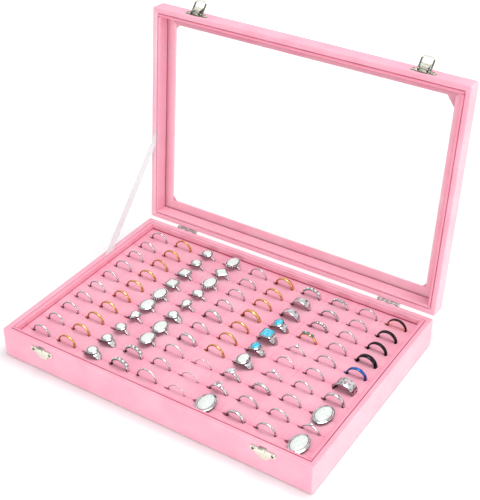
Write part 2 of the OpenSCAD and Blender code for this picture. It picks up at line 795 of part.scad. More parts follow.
module loop_rivet(side) {
  color(STEEL) on_lid() on_front(side * latch_x, lid_rim)
    across(loop_pin_l) translate(loop_pin) circle(pin_r);
}

// The loop's own plane: x across, y from the rivet to the end bar.
module loop_outline() {
  outer = loop_w / 2 + loop_bar;
  end = loop_l + loop_bar / 2;
  corner = 4;
  inner_corner = corner - loop_bar;
  difference() {
    union() {
      translate([-outer, 0]) square([2 * outer, end - corner]);
      translate([-outer + corner, 0]) square([2 * (outer - corner), end]);
      for (s = [-1, 1]) translate([s * (outer - corner), end - corner]) circle(corner);
    }
    translate([-loop_w / 2, -1]) square([loop_w, end - corner + 1]);
    translate([-loop_w / 2 + inner_corner, -1]) square([loop_w - 2 * inner_corner, end - loop_bar + 1]);
    for (s = [-1, 1]) translate([s * (outer - corner), end - corner]) circle(inner_corner);
  }
}

module loop(side) {
  color(NICKEL) on_lid() on_front(side * latch_x, lid_rim)
    translate([0, -loop_pin[0], loop_pin[1]]) rotate([loop_rest, 0, 0]) difference() {
      union() {
        rotate([90, 0, 0]) linear_extrude(loop_t, center = true) loop_outline();
        for (s = [-1, 1]) across(loop_bar, s * (loop_w + loop_bar) / 2) circle(1.2);
      }
      across(loop_w + 2 * loop_bar + 2) circle(pin_r + pin_play);
    }
}

base_walls();
floor_board();
underside_sheet();
base_liner();
pad_strip(0);  // pad_strip_1
pad_strip(1);  // pad_strip_2
pad_strip(2);  // pad_strip_3
pad_strip(3);  // pad_strip_4
pad_strip(4);  // pad_strip_5
pad_strip(5);  // pad_strip_6
pad_strip(6);  // pad_strip_7
pad_strip(7);  // pad_strip_8
pad_strip(8);  // pad_strip_9
pad_strip(9);  // pad_strip_10
catch_plate(left);  // catch_left
catch_plate(right);  // catch_right
catch_screws();
hinge_base_leaves();
hinge_base_screws();
hinge_pins();
lid_stay_ribbon();
silver_rings();
gold_rings();
black_rings();
blue_ring();
stone_ring_settings();
white_stones();
turquoise_stones();
clear_stones();
green_stones();
lid_frame();
lid_liner();
window_pane();
hinge_lid_leaves();
hinge_lid_screws();
latch_plate(left);  // latch_plate_left
latch_plate(right);  // latch_plate_right
latch_screws();
lever_pins();
lever(left);  // lever_left
lever(right);  // lever_right
loop_rivet(left);  // loop_pin_left
loop_rivet(right);  // loop_pin_right
loop(left);  // loop_left
loop(right);  // loop_right
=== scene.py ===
import json
from math import copysign, cos, exp, pi, radians, sin, sqrt

import bmesh
import bpy
import numpy as np
from mathutils import Matrix, Quaternion, Vector, noise


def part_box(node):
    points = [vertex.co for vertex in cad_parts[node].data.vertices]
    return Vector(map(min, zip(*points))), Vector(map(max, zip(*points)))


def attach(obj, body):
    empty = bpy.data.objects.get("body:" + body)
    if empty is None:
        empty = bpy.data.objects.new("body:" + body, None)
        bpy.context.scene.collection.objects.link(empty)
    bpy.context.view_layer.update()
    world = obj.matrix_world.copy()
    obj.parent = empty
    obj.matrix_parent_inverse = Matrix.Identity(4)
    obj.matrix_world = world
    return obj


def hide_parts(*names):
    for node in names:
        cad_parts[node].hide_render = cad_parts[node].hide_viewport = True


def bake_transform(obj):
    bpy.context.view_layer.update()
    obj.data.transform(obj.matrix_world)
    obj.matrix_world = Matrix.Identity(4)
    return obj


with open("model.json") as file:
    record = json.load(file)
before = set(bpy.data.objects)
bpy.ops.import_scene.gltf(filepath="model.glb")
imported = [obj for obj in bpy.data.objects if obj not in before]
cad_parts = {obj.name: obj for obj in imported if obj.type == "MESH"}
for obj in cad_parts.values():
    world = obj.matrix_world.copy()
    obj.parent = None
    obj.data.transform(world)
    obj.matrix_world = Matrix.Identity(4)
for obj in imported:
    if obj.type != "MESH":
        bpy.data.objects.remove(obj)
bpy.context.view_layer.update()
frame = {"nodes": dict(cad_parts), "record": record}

nodes = frame["nodes"]
record = frame["record"]
mm = 0.001

# ---- Room ----
# The box stands on a white sheet. A soft lamp above it and a low one in front give the light, with a
# weak one on the right, and an even white room fills the shadows, as in a product photograph.


def shade(code):
    """A colour in a shader's own linear values, from its hex code."""
    parts = [int(code[i:i + 2], 16) / 255 for i in (1, 3, 5)]
    return (*[p / 12.92 if p <= 0.04045 else ((p + 0.055) / 1.055) ** 2.4 for p in parts], 1)


class Wire:
    """One output of a node. Arithmetic on it adds Math nodes to its tree."""

    def __init__(self, tree, out):
        self.tree = tree
        self.out = out

    def math(self, operation, *values):
        return self.tree.node("ShaderNodeMath", {"operation": operation}, *values)

    def __add__(self, other):
        return self.math("ADD", self, other)

    def __sub__(self, other):
        return self.math("SUBTRACT", self, other)

    def __rsub__(self, other):
        return self.math("SUBTRACT", other, self)

    def __mul__(self, other):
        return self.math("MULTIPLY", self, other)

    __radd__ = __add__
    __rmul__ = __mul__


class Tree:
    """A node tree and the one method that adds its nodes."""

    def __init__(self, tree):
        self.tree = tree

    def plug(self, socket, value):
        """Gives a socket a wire or a constant, which may be a colour's hex code."""
        if isinstance(value, Wire):
            self.tree.links.new(value.out, socket)
        else:
            socket.default_value = shade(value) if str(value).startswith("#") else value

    def node(self, kind, settings=None, *values, output=0, **named):
        made = self.tree.nodes.new(kind)
        for key, value in (settings or {}).items():
            if key == "stops":
                while len(made.color_ramp.elements) < len(value):
                    made.color_ramp.elements.new(1)
                for stop, (place, colour) in zip(made.color_ramp.elements, value):
                    stop.position, stop.color = place, colour
            else:
                setattr(made, key, value)
        for key, value in [*enumerate(values), *named.items()]:
            if value is not None:
                self.plug(made.inputs[key.replace("_", " ") if isinstance(key, str) else key], value)
        return Wire(self, made.outputs[output])

    def attribute(self, name):
        return self.node("ShaderNodeAttribute", {"attribute_name": name}, output=2)

    def looked_at(self):
        """One for the camera's rays and their reflections, zero for the light that falls on other things."""
        path = self.tree.nodes.new("ShaderNodeLightPath")
        seen = Wire(self, path.outputs["Is Camera Ray"])
        for ray in ("Is Glossy Ray", "Is Transmission Ray"):
            seen = seen.math("MAXIMUM", seen, Wire(self, path.outputs[ray]))
        return seen


class Finish(Tree):
    """A material on one Principled shader. Its patterns sit on Object coordinates."""

    def __init__(self, name, **sockets):
        self.material = bpy.data.materials.new(name)
        self.material.use_nodes = True
        super().__init__(self.material.node_tree)
        self.shader = self.tree.nodes["Principled BSDF"]
        self.set(**sockets)

    def set(self, **sockets):
        for name, value in sockets.items():
            self.plug(self.shader.inputs[name.replace("_", " ")], value)

    def place(self):
        return self.node("ShaderNodeTexCoord", output="Object")

    def noise(self, size, detail=2.0, place=None):
        """Noise whose lumps are about size metres across, from 0 to 1."""
        return self.node("ShaderNodeTexNoise", None, Vector=place or self.place(), Scale=1 / size,
                         Detail=detail)

    def between(self, low, high, value):
        return self.node("ShaderNodeMapRange", {"clamp": True}, value, low, high)

    def mix(self, factor, first, second):
        made = self.node("ShaderNodeMix", {"data_type": "RGBA"}, factor, output=2)
        for index, value in ((6, first), (7, second)):
            self.plug(made.out.node.inputs[index], value)
        return made

    def bump(self, height, depth, strength=1.0):
        self.set(Normal=self.node("ShaderNodeBump", None, Strength=strength, Distance=depth, Height=height))


def new_object(name, data):
    made = bpy.data.objects.new(name, data)
    bpy.context.collection.objects.link(made)
    return made


def coat(mesh, finish):
    """Gives a mesh one finish, in place of any it has."""
    mesh.materials.clear()
    mesh.materials.append(finish.material)


def square(name, half, finish, place=(0, 0, 0), turn=Quaternion()):
    """A flat square of the room, from half its side."""
    mesh = bpy.data.meshes.new(name)
    mesh.from_pydata([Vector(place) + turn @ Vector((x * half, y * half, 0))
                      for x, y in ((-1, -1), (1, -1), (1, 1), (-1, 1))], [], [(0, 1, 2, 3)])
    coat(mesh, finish)
    return new_object(name, mesh)


floor_half = 12.0
near_glow, far_glow = 0.06, 0.7
glow_from, glow_to = 0.3, 1.6
floor_paper = Finish("floor_paper", Base_Color="#f8fafa", Roughness=0.9, Specular_IOR_Level=0.0,
                     Emission_Color=(1, 1, 1, 1))
far_off = floor_paper.between(glow_from, glow_to, floor_paper.node(
    "ShaderNodeVectorMath", {"operation": "LENGTH"}, floor_paper.place(), output=1))
floor_paper.set(Emission_Strength=floor_paper.looked_at() * (near_glow + far_off * far_glow))
floor = square("floor", floor_half, floor_paper)

world = bpy.data.worlds.new("white_room")
bpy.context.scene.world = world
world.use_nodes = True
room = Tree(world.node_tree)
sky = world.node_tree.nodes["Background"]
fill_level = 0.62
sky.inputs["Color"].default_value = (1, 1, 1, 1)
room.plug(sky.inputs["Strength"], fill_level + room.looked_at() * (1 - fill_level))


def lamp(name, place, aim, size, power):
    made = new_object(name, bpy.data.lights.new(name, "AREA"))
    made.data.size = size
    made.data.energy = power
    made.location = place
    made.rotation_euler = (Vector(aim) - Vector(place)).to_track_quat("-Z", "Y").to_euler()


lamp("top_back", (0.3, 0.38, 1.9), (0, 0, 0), 1.1, 21)
lamp("front_low", (0.5, -2.2, 0.3), (0, 0, 0.05), 0.8, 19)
lamp("right_low", (2.2, -0.2, 0.6), (0, 0, 0.05), 0.8, 6)

camera = new_object("camera", bpy.data.cameras.new("camera"))
camera_right = Vector((0.84376, 0.53670, 0.00525))
camera_back = Vector((0.44301, -0.70193, 0.55770))
camera_turn = Matrix((camera_right, camera_back.cross(camera_right), camera_back)).transposed()
camera.matrix_world = Matrix.Translation((0.46809, -0.70482, 0.68889)) @ camera_turn.to_4x4()
camera.data.lens = 77.75
camera.data.clip_end = 50
bpy.context.scene.camera = camera
bpy.context.scene.view_settings.view_transform = "Standard"

# ---- Base walls ----
# Four boards joined at the corners, covered in pink velvet that is glued over their rounded edges.
# The velvet lies thin and close, with patches where its pile was brushed the other way.

velvet_pink = "#f29fb6"
velvet_deep = "#ee8da6"
velvet_pale = "#fbdfe8"


def velvet(name, brushed=0.5, pile=1.0, ground=velvet_pink):
    """Short cotton velvet in brushed patches: painted paler as painted light where its tone attribute is
    high, and painted dark as painted shade where that is below zero.
    """
    made = Finish(name, Roughness=0.85, Specular_IOR_Level=0.15, Sheen_Weight=0.15, Sheen_Roughness=0.4,
                  Sheen_Tint="#fff2f4")
    nap = made.attribute("nap")
    patches = made.between(0.36, 0.68, made.noise(26 * mm, 4))
    tufts = made.between(0.3, 0.7, made.noise(1.1 * mm, 3))
    fibres = made.noise(0.28 * mm, 2)
    # Painted light: the cloth is painted paler where the tone attribute is high; the brushed patches make it
    # paler too.
    cloth = made.mix(nap + patches * 0.3 * brushed, ground, velvet_pale)
    cloth = made.mix(tufts * 0.2, cloth, velvet_deep)
    # Painted shade: below zero the cloth is painted dark wine-red, as in grooves, seams and corners.
    cloth = made.mix(0 - nap, cloth, "#9c3f5c")
    made.set(Base_Color=made.mix(made.between(0.35, 0.75, fibres) * 0.06, cloth, velvet_pale),
             Roughness=0.78 + patches * 0.12)
    made.bump(fibres * 0.5 + tufts, 0.12 * mm * pile, 0.55)
    return made


covering = velvet("covering_velvet", brushed=0.7)


def arc(centre, radius, start, end, steps=4):
    """Points of a section's rounded corner, (depth, height), from one angle to another in degrees."""
    turns = [radians(start + (end - start) * i / steps) for i in range(steps + 1)]
    return [(centre[0] + radius * cos(t), centre[1] + radius * sin(t)) for t in turns]


def round_trip(half_w, half_d, radius, side_steps, corner_steps=5):
    """Points round a rounded rectangle, counter-clockwise from above, the same number for any size."""
    reach = np.array([half_w - radius, half_d - radius])
    curves = [np.array(way) * reach + arc((0, 0), radius, 90 * turn, 90 * turn + 90, corner_steps)
              for turn, way in enumerate(((1, 1), (-1, 1), (-1, -1), (1, -1)))]
    points = []
    for curve, ahead in zip(curves, curves[1:] + curves[:1]):
        side = ahead[0] - curve[-1]
        points += [*curve, *(curve[-1] + side * i / side_steps for i in range(1, side_steps))]
    return np.array(points)


def rim_loops(section, half_w, half_d, corner, inner_corner=0.25 * mm, side_steps=48):
    """Carries a section of (depth, height) points round a rectangle: one loop of points each."""
    loops = []
    for depth, height in section:
        loop = round_trip(half_w - depth, half_d - depth, max(corner - depth, inner_corner), side_steps)
        loops.append(np.column_stack([loop, np.full(len(loop), height)]))
    return np.array(loops)


def grid_faces(rows, columns, rows_closed=False, columns_closed=False):
    """Quads of a grid of points, with its edges joined where a direction is closed."""
    faces = []
    for r in range(rows if rows_closed else rows - 1):
        for c in range(columns if columns_closed else columns - 1):
            r1, c1 = (r + 1) % rows, (c + 1) % columns
            faces.append((r * columns + c, r * columns + c1, r1 * columns + c1, r1 * columns + c))
    return faces


def mark(mesh, name, tones, domain="POINT"):
    """Keeps a number for each point or face of a mesh, which its finish reads."""
    mesh.attributes.new(name, "FLOAT", domain).data.foreach_set("value", np.ravel(tones).astype(np.float32))


def section_painted_tones(tones, loops):
    """One painted tone for each line of a section, all the way along it."""
    return np.repeat(np.array(tones)[:, None], loops.shape[1], axis=1)


def piece(name, points, faces, finish, body, stands_for=(), nap=0.2, right_painted_light=0.0, front_painted_light=0.0):
    """A new smooth mesh that rides on a body and stands for CAD nodes, with its tone and painted light at
    each point.
    """
    mesh = bpy.data.meshes.new(name)
    mesh.from_pydata([tuple(p) for p in np.asarray(points, float).reshape(-1, 3)], [], faces)
    coat(mesh, finish)
    made = settle(new_object(name, mesh), body, stands_for)
    tones_with_painted_light = np.broadcast_to(nap, len(mesh.vertices))
    ways = np.array([v.normal[:] for v in mesh.vertices])
    # Painted light: faces turned to the right, and less so those turned to the front, are painted paler.
    lighter = right_painted_light * np.maximum(ways[:, 0], 0) + front_painted_light * np.maximum(-ways[:, 1], 0)
    mark(mesh, "nap", np.where(tones_with_painted_light < 0, tones_with_painted_light, tones_with_painted_light + lighter))
    return made


def settle(made, body, stands_for=(), crease=40):
    """Outward faces, smooth shading below the crease's angle, and the piece's place in the frame."""
    shape = bmesh.new()
    shape.from_mesh(made.data)
    bmesh.ops.recalc_face_normals(shape, faces=shape.faces)
    shape.to_mesh(made.data)
    shape.free()
    made.data.shade_smooth()
    made.data.set_sharp_from_angle(angle=radians(crease))
    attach(made, body)
    if stands_for:
        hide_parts(*stands_for)
    return made


def ripple(points, size, depth, seed):
    """Moves points a little in and out, as cloth lies over a board, by noise of that size."""
    shift = Vector((seed * 7.3, seed * 3.1, seed * 5.7))
    moved = np.array(points, float)
    flat = moved.reshape(-1, 3)
    for i, p in enumerate(flat):
        at = Vector(p) / size + shift
        flat[i] += depth * np.array([noise.noise(at), noise.noise(at + Vector((9, 4, 2))),
                                     noise.noise(at + Vector((3, 8, 6)))])
    return moved


walls_low, walls_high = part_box("base_walls")
half_w = walls_high.x
half_d = walls_high.y
base_rim = walls_high.z
wall = 6 * mm
edge = 1.2 * mm
corner = 2 * mm
wall_section = [
    *arc((edge, walls_low.z + edge), edge, 270, 180),
    (0, walls_low.z + 6 * mm), (0, base_rim - 14 * mm), (0, base_rim - 5 * mm),
    *arc((edge, base_rim - edge), edge, 180, 90),
    *arc((wall - edge, base_rim - edge), edge, 90, 0),
    (wall, base_rim - 8 * mm), (wall, walls_low.z),
]
wall_loops = rim_loops(wall_section, half_w, half_d, corner)
# Painted shade: the wall's inner face, down in the groove behind the lining, is painted dark.
wall_painted_tones = section_painted_tones([0.12] * 15 + [0.05, -0.2, -0.6, -0.6, -0.6], wall_loops)
# Painted light: the back wall's upper face is painted paler, and a painted highlight runs along the outer
# upper edge all round.
back_side, upper_face, upper_edge = slice(6, 53), slice(11, 16), slice(10, 12)
wall_painted_tones[upper_face, back_side] += 0.14
wall_painted_tones[upper_edge] += 0.1
base_cover = piece("base_velvet_walls", ripple(wall_loops, 30 * mm, 0.1 * mm, 1),
                   grid_faces(*wall_loops.shape[:2], True, True), covering, "base",
                   ["base_walls"], wall_painted_tones.ravel(), right_painted_light=0.6, front_painted_light=0.06)

# ---- Floor board and underside ----
# A board between the walls carries the pads. Under it a sheet of felt is glued, set in from the edges.

board_finish = Finish("covered_board", Roughness=0.9)
board_grain = board_finish.noise(3 * mm, 4)
board_finish.set(Base_Color=board_finish.mix(board_grain * 0.4, "#f2a0b4", "#e58ca3"))
board_finish.bump(board_grain, 0.05 * mm)
coat(nodes["floor_board"].data, board_finish)

felt = Finish("underside_felt", Roughness=0.95, Specular_IOR_Level=0.1, Sheen_Weight=0.3, Sheen_Roughness=0.5)
felt_lumps = felt.noise(1.6 * mm, 4)
felt_hairs = felt.noise(0.35 * mm, 2)
felt.set(Base_Color=felt.mix(felt.between(0.3, 0.7, felt_lumps), "#efd2d8", "#dcb6bf"))
felt.bump(felt_lumps + felt_hairs * 0.6, 0.2 * mm, 0.6)
coat(nodes["underside_sheet"].data, felt)

# ---- Base lining ----
# Four strips of card covered in the same velvet stand inside the walls. A fine groove shows between
# wall and lining, and the strips meet in the corners with a small gap.

lining_velvet = velvet("lining_velvet", brushed=0.35, ground="#f08fa9")


def lining_bar(start, end, inward, thick, low, high, meets, rounding, crown=0.0, steps=40):
    """A strip between two floor points, its section rounded at the upper edge, its ends tucked in."""
    along = np.array(end, float) - np.array(start, float)
    length = np.linalg.norm(along)
    along /= length
    section = [(0, low), (0, (low + high) / 2), *arc((rounding, high - rounding), rounding, 180, 90),
               *arc((thick - rounding, high - rounding), rounding, 90, 0),
               (thick + crown, (meets + high) / 2), (thick, meets + 1.2 * mm),
               (thick, meets + 0.2 * mm), (thick, low)]
    tuck = min(0.6 * mm, 0.4 * rounding)
    stations = [0, tuck * 0.4, tuck, 2.5 * tuck,
                *np.linspace(6 * tuck, length - 6 * tuck, steps), length - 2.5 * tuck,
                length - tuck, length - tuck * 0.4, length]
    middle = np.mean(section, axis=0)
    loops = []
    for at in stations:
        near = min(at, length - at)
        pull = tuck * (1 - sqrt(max(0, 1 - (1 - min(near / tuck, 1)) ** 2)))
        loop = []
        for depth, height in section:
            d = depth + pull * np.sign(middle[0] - depth)
            h = height - (pull if height > (low + high) / 2 else 0)
            loop.append([*(np.array(start) + along * at + np.array(inward) * d), h])
        loops.append(loop)
    return np.array(loops)


def stack_faces(rows, count, first=0):
    """Faces of a stack of loops that is shut at both ends."""
    faces = grid_faces(rows, count, False, True)
    faces += [tuple(range(count)), tuple((rows - 1) * count + i for i in reversed(range(count)))]
    return [tuple(first + i for i in face) for face in faces]


def bars_mesh(bars):
    """One set of points and faces from several bars, each closed at its ends."""
    points, faces = [], []
    for loops in bars:
        faces += stack_faces(*loops.shape[:2], len(points))
        points.extend(loops.reshape(-1, 3))
    return np.array(points), faces


def lining_bars(groove, thick, side_thick, low, high, meets, rounding, joint, crown=0.0):
    """The four strips of a lining, down to where they meet the pad or glass. The long ones run through."""
    inset = wall + groove
    x, y = half_w - inset, half_d - inset
    side = y - thick - joint
    ends = (((-x, -y), (x, -y), (0, 1), thick), ((-x, y), (x, y), (0, -1), thick),
            ((-x, -side), (-x, side), (1, 0), side_thick), ((x, -side), (x, side), (-1, 0), side_thick))
    return [lining_bar(*end, low, high, meets, rounding, crown) for end in ends]


groove = 0.4 * mm
liner_thick = 2.4 * mm
side_liner_thick = 4 * mm
liner_joint = 0.2 * mm
liner_rounding = 0.9 * mm
liner_low, liner_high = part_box("base_liner")
pad_low, pad_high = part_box("pad_strip_2")
pad_top = pad_high.z


def lining_painted_tones(groove_painted_shade, foot_painted_shade, painted_light_by_side, stations=48):
    """Painted tones of the four strips, front, back, left and right: painted shade in the groove and at the
    foot, and each strip painted paler by its own amount as painted light.
    """
    tones_with_painted_light = [np.tile([groove_painted_shade] * 3 + [groove_painted_shade / 3, 0.05] + [side_light] * 9 + [foot_painted_shade] * 2, stations)
            for side_light in painted_light_by_side]
    return np.concatenate(tones_with_painted_light)


base_bars, base_bar_faces = bars_mesh(lining_bars(
    groove, liner_thick, side_liner_thick, liner_low.z, liner_high.z, pad_top, liner_rounding, liner_joint))
piece("base_velvet_lining", ripple(base_bars, 25 * mm, 0.08 * mm, 2), base_bar_faces,
      lining_velvet, "base", ["base_liner"], lining_painted_tones(-0.6, -0.7, (0.16, 0.34, 0.12, 0.1)),
      right_painted_light=0.12)

# ---- Pad ----
# Ten foam strips wrapped in velvet stand side by side, so close that their seams hardly show. Each has
# ten slots cut in the foam: its lips close again between a ring's two feet and gape on the left of it.

pad_velvet = velvet("pad_velvet", brushed=0.8, pile=1.2)
columns, rows = 10, 10
pad_bottom = pad_low.z
strip_gap = 0.3 * mm
column_pitch = pad_high.x - pad_low.x + strip_gap
end_margin = 3.5 * mm
row_pitch = (pad_high.y - pad_low.y + 2 * strip_gap - 2 * end_margin) / rows
row_shift = -1.2 * mm
slot_half = 12.25 * mm
slot_depth = 9 * mm
slot_play = 0.3 * mm
lip_play = 0.12 * mm
gape = 0.35 * mm
lip_run = 7 * mm
end_round = 1 * mm
crown = 0.08 * mm
strip_roundings = [0.2, 0.22, 0.2, 0.25, 0.2, 0.22, 0.2, 0.22, 0.25, 0.25]


def column_x(c):
    return (c - (columns - 1) / 2) * column_pitch


def row_y(r):
    return row_shift + ((rows - 1) / 2 - r) * row_pitch


def smooth(low, high, value):
    t = np.clip((value - low) / (high - low), 0, 1)
    return t * t * (3 - 2 * t)


# Back row first and left column first: one letter for each ring's style, as RINGS says.
LAYOUT = [
    "sgrOsGhisb",
    "sgrdsgvcsk",
    "sgqOsgvxsk",
    "sgqasGumsK",
    "sgOpwgUNsB",
    "sgofsDutse",
    "sgpowgznsw",
    "sgrolyZCsL",
    "sgfhsYZssn",
    "sgfhlyLcsL",
]
# Outer diameter, width and thickness of each style's shank, and its height above the pad.
SHANKS = dict(
    dict.fromkeys("rqdap", (21.6, 2.2, 1.1, 5.2)), s=(21, 1.9, 1.1, 9.8), l=(22.6, 1.9, 1.1, 11.4),
    w=(21.4, 3.6, 1.2, 10), t=(20.4, 1.2, 0.9, 9), x=(20.6, 3.4, 1.3, 8.4), e=(22, 11, 1.4, 9.6),
    G=(21.8, 3.8, 1.4, 10), m=(21, 2.6, 1.3, 8.6), b=(21.6, 3.2, 1.5, 9.6), k=(21.6, 3.6, 1.6, 9.6),
    K=(21.8, 5, 1.7, 9.8), B=(21.4, 3.4, 1.4, 9.4), f=(21.8, 2.6, 1.2, 5.8), h=(22, 3.4, 1.2, 9),
    i=(21, 2.8, 1.2, 8), v=(22, 3, 1.3, 9), u=(22, 3, 1.3, 7.4), U=(22.4, 3.4, 1.4, 8.4),
    z=(22.4, 3.4, 1.4, 7), Z=(21.6, 2.6, 1.3, 7.2), L=(19.4, 3.2, 1.2, 1.9),
    **dict.fromkeys("yY", (20, 1, 0.8, 7.6)), **dict.fromkeys("cC", (20.6, 3, 1.5, 8.4)),
    **dict.fromkeys("gD", (21.4, 2.4, 1.3, 10)), **dict.fromkeys("oO", (21.6, 2.4, 1.1, 4.8)),
    **dict.fromkeys("nN", (20.6, 1.8, 1, 6.6)))


def ring_centre(r, c):
    """A ring stands against the right-hand end of its slot."""
    outer, _, _, top = SHANKS[LAYOUT[r][c]]
    return Vector((column_x(c) + slot_half - slot_play - outer / 2 * mm, row_y(r),
                   pad_top - (outer / 2 - top) * mm))


def slot_opening(r, c, x):
    """Half the width of a slot's mouth at x, and the shares by which its lips sink and it opens downwards."""
    outer, width, thick, top = SHANKS[LAYOUT[r][c]]
    below = outer / 2 - top
    reach = sqrt(max((outer / 2) ** 2 - below ** 2, 0)) * mm
    inner = sqrt(max((outer / 2 - thick) ** 2 - below ** 2, 0)) * mm
    held = width / 2 * mm + lip_play
    away = x - ring_centre(r, c).x
    beside = abs(away)
    shut = smooth(inner - 1.6 * mm, inner - 0.2 * mm, beside)
    if beside <= reach + 0.1 * mm:
        mouth = held * shut
    elif away > 0:
        mouth = held * (1 - smooth(reach + 0.1 * mm, reach + 0.9 * mm, beside))
    else:
        left_end = x - (column_x(c) - slot_half)
        mouth = (held + gape) * np.clip(left_end / (slot_half * 2 - 21 * mm), 0, 1) ** 0.6
    in_slot = smooth(-0.2 * mm, 0.5 * mm, slot_half - abs(x - column_x(c)))
    return mouth * in_slot + 0.02 * mm, (0.3 + 0.5 * shut) * in_slot, shut * in_slot


def strip_mesh(c):
    """The velvet of one strip as a fine sheet over its foam, closed underneath."""
    low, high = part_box(f"pad_strip_{c + 1}")
    left, right = low.x - 0.16 * mm, high.x + 0.16 * mm
    middle, width = (left + right) / 2, right - left
    rounding = strip_roundings[c] * mm
    slot_x = column_x(c)
    far, near_left, near_right = 14 * mm, slot_x - 6 * mm, slot_x + 8 * mm
    xs = np.concatenate([
        np.linspace(left + rounding, slot_x - far, 3)[:-1], np.linspace(slot_x - far, near_left, 20),
        np.linspace(near_left, near_right, 13)[1:-1], np.linspace(near_right, slot_x + far, 16),
        np.linspace(slot_x + far, right - rounding, 3)[1:]])
    quarter = np.radians(np.linspace(0, 90, 5))[:-1]
    edge_x = rounding * (1 - np.cos(quarter))
    edge_drop = rounding * (1 - np.sin(quarter))
    side_z = [pad_bottom, pad_bottom + 8 * mm, pad_top - crown - rounding - 3 * mm]
    sides = len(side_z)
    flat_part = np.zeros(len(xs))
    xs = np.concatenate([[left] * sides, left + edge_x, xs, right - edge_x[::-1], [right] * sides])
    drops = np.concatenate([[0] * sides, edge_drop, flat_part, edge_drop[::-1], [0] * sides])
    # Lines of points on both sides of a row of slots, close together at the lips.
    ways = np.array([0, 0.14, 0.32, 0.62, 1.05, 1.65, 2.5, 3.7, 5.2, 7, 9]) * mm
    ends = np.array([0, 0.3 * mm, end_round])
    levels = [(low.y + end, None, 0) for end in ends]
    for r in reversed(range(rows)):
        levels += [(row_y(r) - way, r, -k) for k, way in reversed([*enumerate(ways, 1)])]
        levels += [(row_y(r) + way, r, k) for k, way in enumerate(ways, 1)]
    levels += [(high.y - end, None, 0) for end in reversed(ends)]
    points = []
    for across, r, k in levels:
        end_in = min(across - low.y, high.y - across) / end_round
        end_drop = end_round * (1 - sqrt(max(0, 1 - (1 - min(end_in, 1)) ** 2)))
        for i, x in enumerate(xs):
            n = min(i, len(xs) - 1 - i)
            if n < sides:
                points.append((x, across, min(side_z[n], pad_top - end_round - end_drop)))
                continue
            u = (x - middle) / (width / 2)
            z = pad_top - crown * u * u - drops[i] - end_drop
            y = across
            if k:
                mouth, sink, depth = slot_opening(r, c, x)
                away = abs(across - row_y(r))
                y += copysign(mouth * max(0, 1 - away / lip_run), k)
                z -= 0.7 * mm * sink * exp(-max(0, away - 0.14 * mm) / (1.1 * mm))
                if abs(k) == 1:
                    z -= 0.5 * mm + slot_depth * depth
            points.append((x, y, z))
    # Painted shade: the velvet is painted darker near each slot's lips and paler between the slots.
    tones_with_painted_light = np.full((len(levels), len(xs)), 0.04)
    for n, (across, r, k) in enumerate(levels):
        if k:
            tones_with_painted_light[n] += 0.11 * smooth(0.5 * mm, lip_run, abs(across - row_y(r)))
    # Painted shade: the strips' sides are painted dark, most of all where the outer strips meet the lining.
    tones_with_painted_light[:, :4] = tones_with_painted_light[:, -4:] = -0.6 if c in (0, columns - 1) else -0.08
    return np.array(points), len(levels), len(xs), tones_with_painted_light


for c in range(columns):
    strip_points, strip_rows, strip_columns, strip_painted_tones = strip_mesh(c)
    foam = ripple(strip_points, 14 * mm, 0.14 * mm, 20 + c)
    last = (strip_rows - 1) * strip_columns
    edges = [r * strip_columns for r in range(strip_rows)]
    strip_faces = [*grid_faces(strip_rows, strip_columns), tuple(range(strip_columns)),
                   tuple(last + i for i in reversed(range(strip_columns))),
                   (*edges, *(e + strip_columns - 1 for e in reversed(edges)))]
    strip = piece(f"velvet_strip_{c + 1}", foam, strip_faces, pad_velvet, "base",
                  [f"pad_strip_{c + 1}"], strip_painted_tones.ravel())

# ---- Lid frame ----
# Four boards and a border round the window, covered in one piece of velvet. It is made shut, like the
# real lid, and turned up about the hinge pins.

lid_hinge = record["behaviour"]["joints"][0]
hinge_pin = Vector(lid_hinge["pos_m"])
open_turn = Matrix.Rotation(-radians(lid_hinge["range_deg"][1]), 4, "X")
open_up = Matrix.Translation(hinge_pin) @ open_turn @ Matrix.Translation(-hinge_pin)


def opened(points):
    """Turns points of the shut lid to where the open lid holds them."""
    flat = np.asarray(points, float).reshape(-1, 3)
    turned = flat @ np.array(open_up.to_3x3()).T + np.array(open_up.translation)
    return turned.reshape(np.shape(points))


lid_gap = 0.4 * mm
lid_height = 17.5 * mm
border = 19.5 * mm
border_thick = 2 * mm
lid_rim = base_rim + lid_gap
lid_top = lid_rim + lid_height
inner_edge = 0.5 * mm
frame_section = [
    *arc((edge, lid_rim + edge), edge, 270, 180),
    (0, lid_rim + 5 * mm), (0, lid_top - 4 * mm),
    *arc((edge, lid_top - edge), edge, 180, 90),
    (7 * mm, lid_top), (14 * mm, lid_top),
    *arc((border - edge, lid_top - edge), edge, 90, 0),
    *arc((border - inner_edge, lid_top - border_thick + inner_edge), inner_edge, 0, -90, 3),
    (14 * mm, lid_top - border_thick), (wall + 0.2 * mm, lid_top - border_thick),
    (wall, lid_top - border_thick - 0.2 * mm), (wall, lid_rim + 5 * mm),
    *arc((wall - edge, lid_rim + edge), edge, 0, -90),
]
frame_loops = rim_loops(frame_section, half_w, half_d, corner, 1.5 * mm)
# Painted shade: the border's inner edge and its face behind the glass are painted darker than the outer
# faces, and the inside of the frame wall darker still.
frame_painted_tones = section_painted_tones([0.18] * 19 + [0.0] * 6 + [-0.3] * 2 + [-0.1, 0.05, 0.12, 0.16, 0.16], frame_loops)
# Painted light and shade on the border's inner edge, its face behind the glass and the lid's rim, from the
# back round to the right: each side painted paler where light falls and darker in shade.
for side, (painted_edge_tone, painted_face_tone, painted_deep_tone, painted_rim_tone) in enumerate((
        (0.05, 0.02, 0.0, 0.08), (0.4, 0.1, -0.5, 0.24), (-0.3, -0.6, -0.6, 0.0), (0.28, -0.04, -0.1, 0.0))):
    along = slice(53 * side + 3, 53 * side + 56)
    frame_painted_tones[19:23, along] = painted_edge_tone
    frame_painted_tones[23, along] = painted_face_tone
    frame_painted_tones[24, along] = painted_deep_tone
    frame_painted_tones[29:32, along] += painted_rim_tone
    frame_painted_tones[0:3, along] += painted_rim_tone
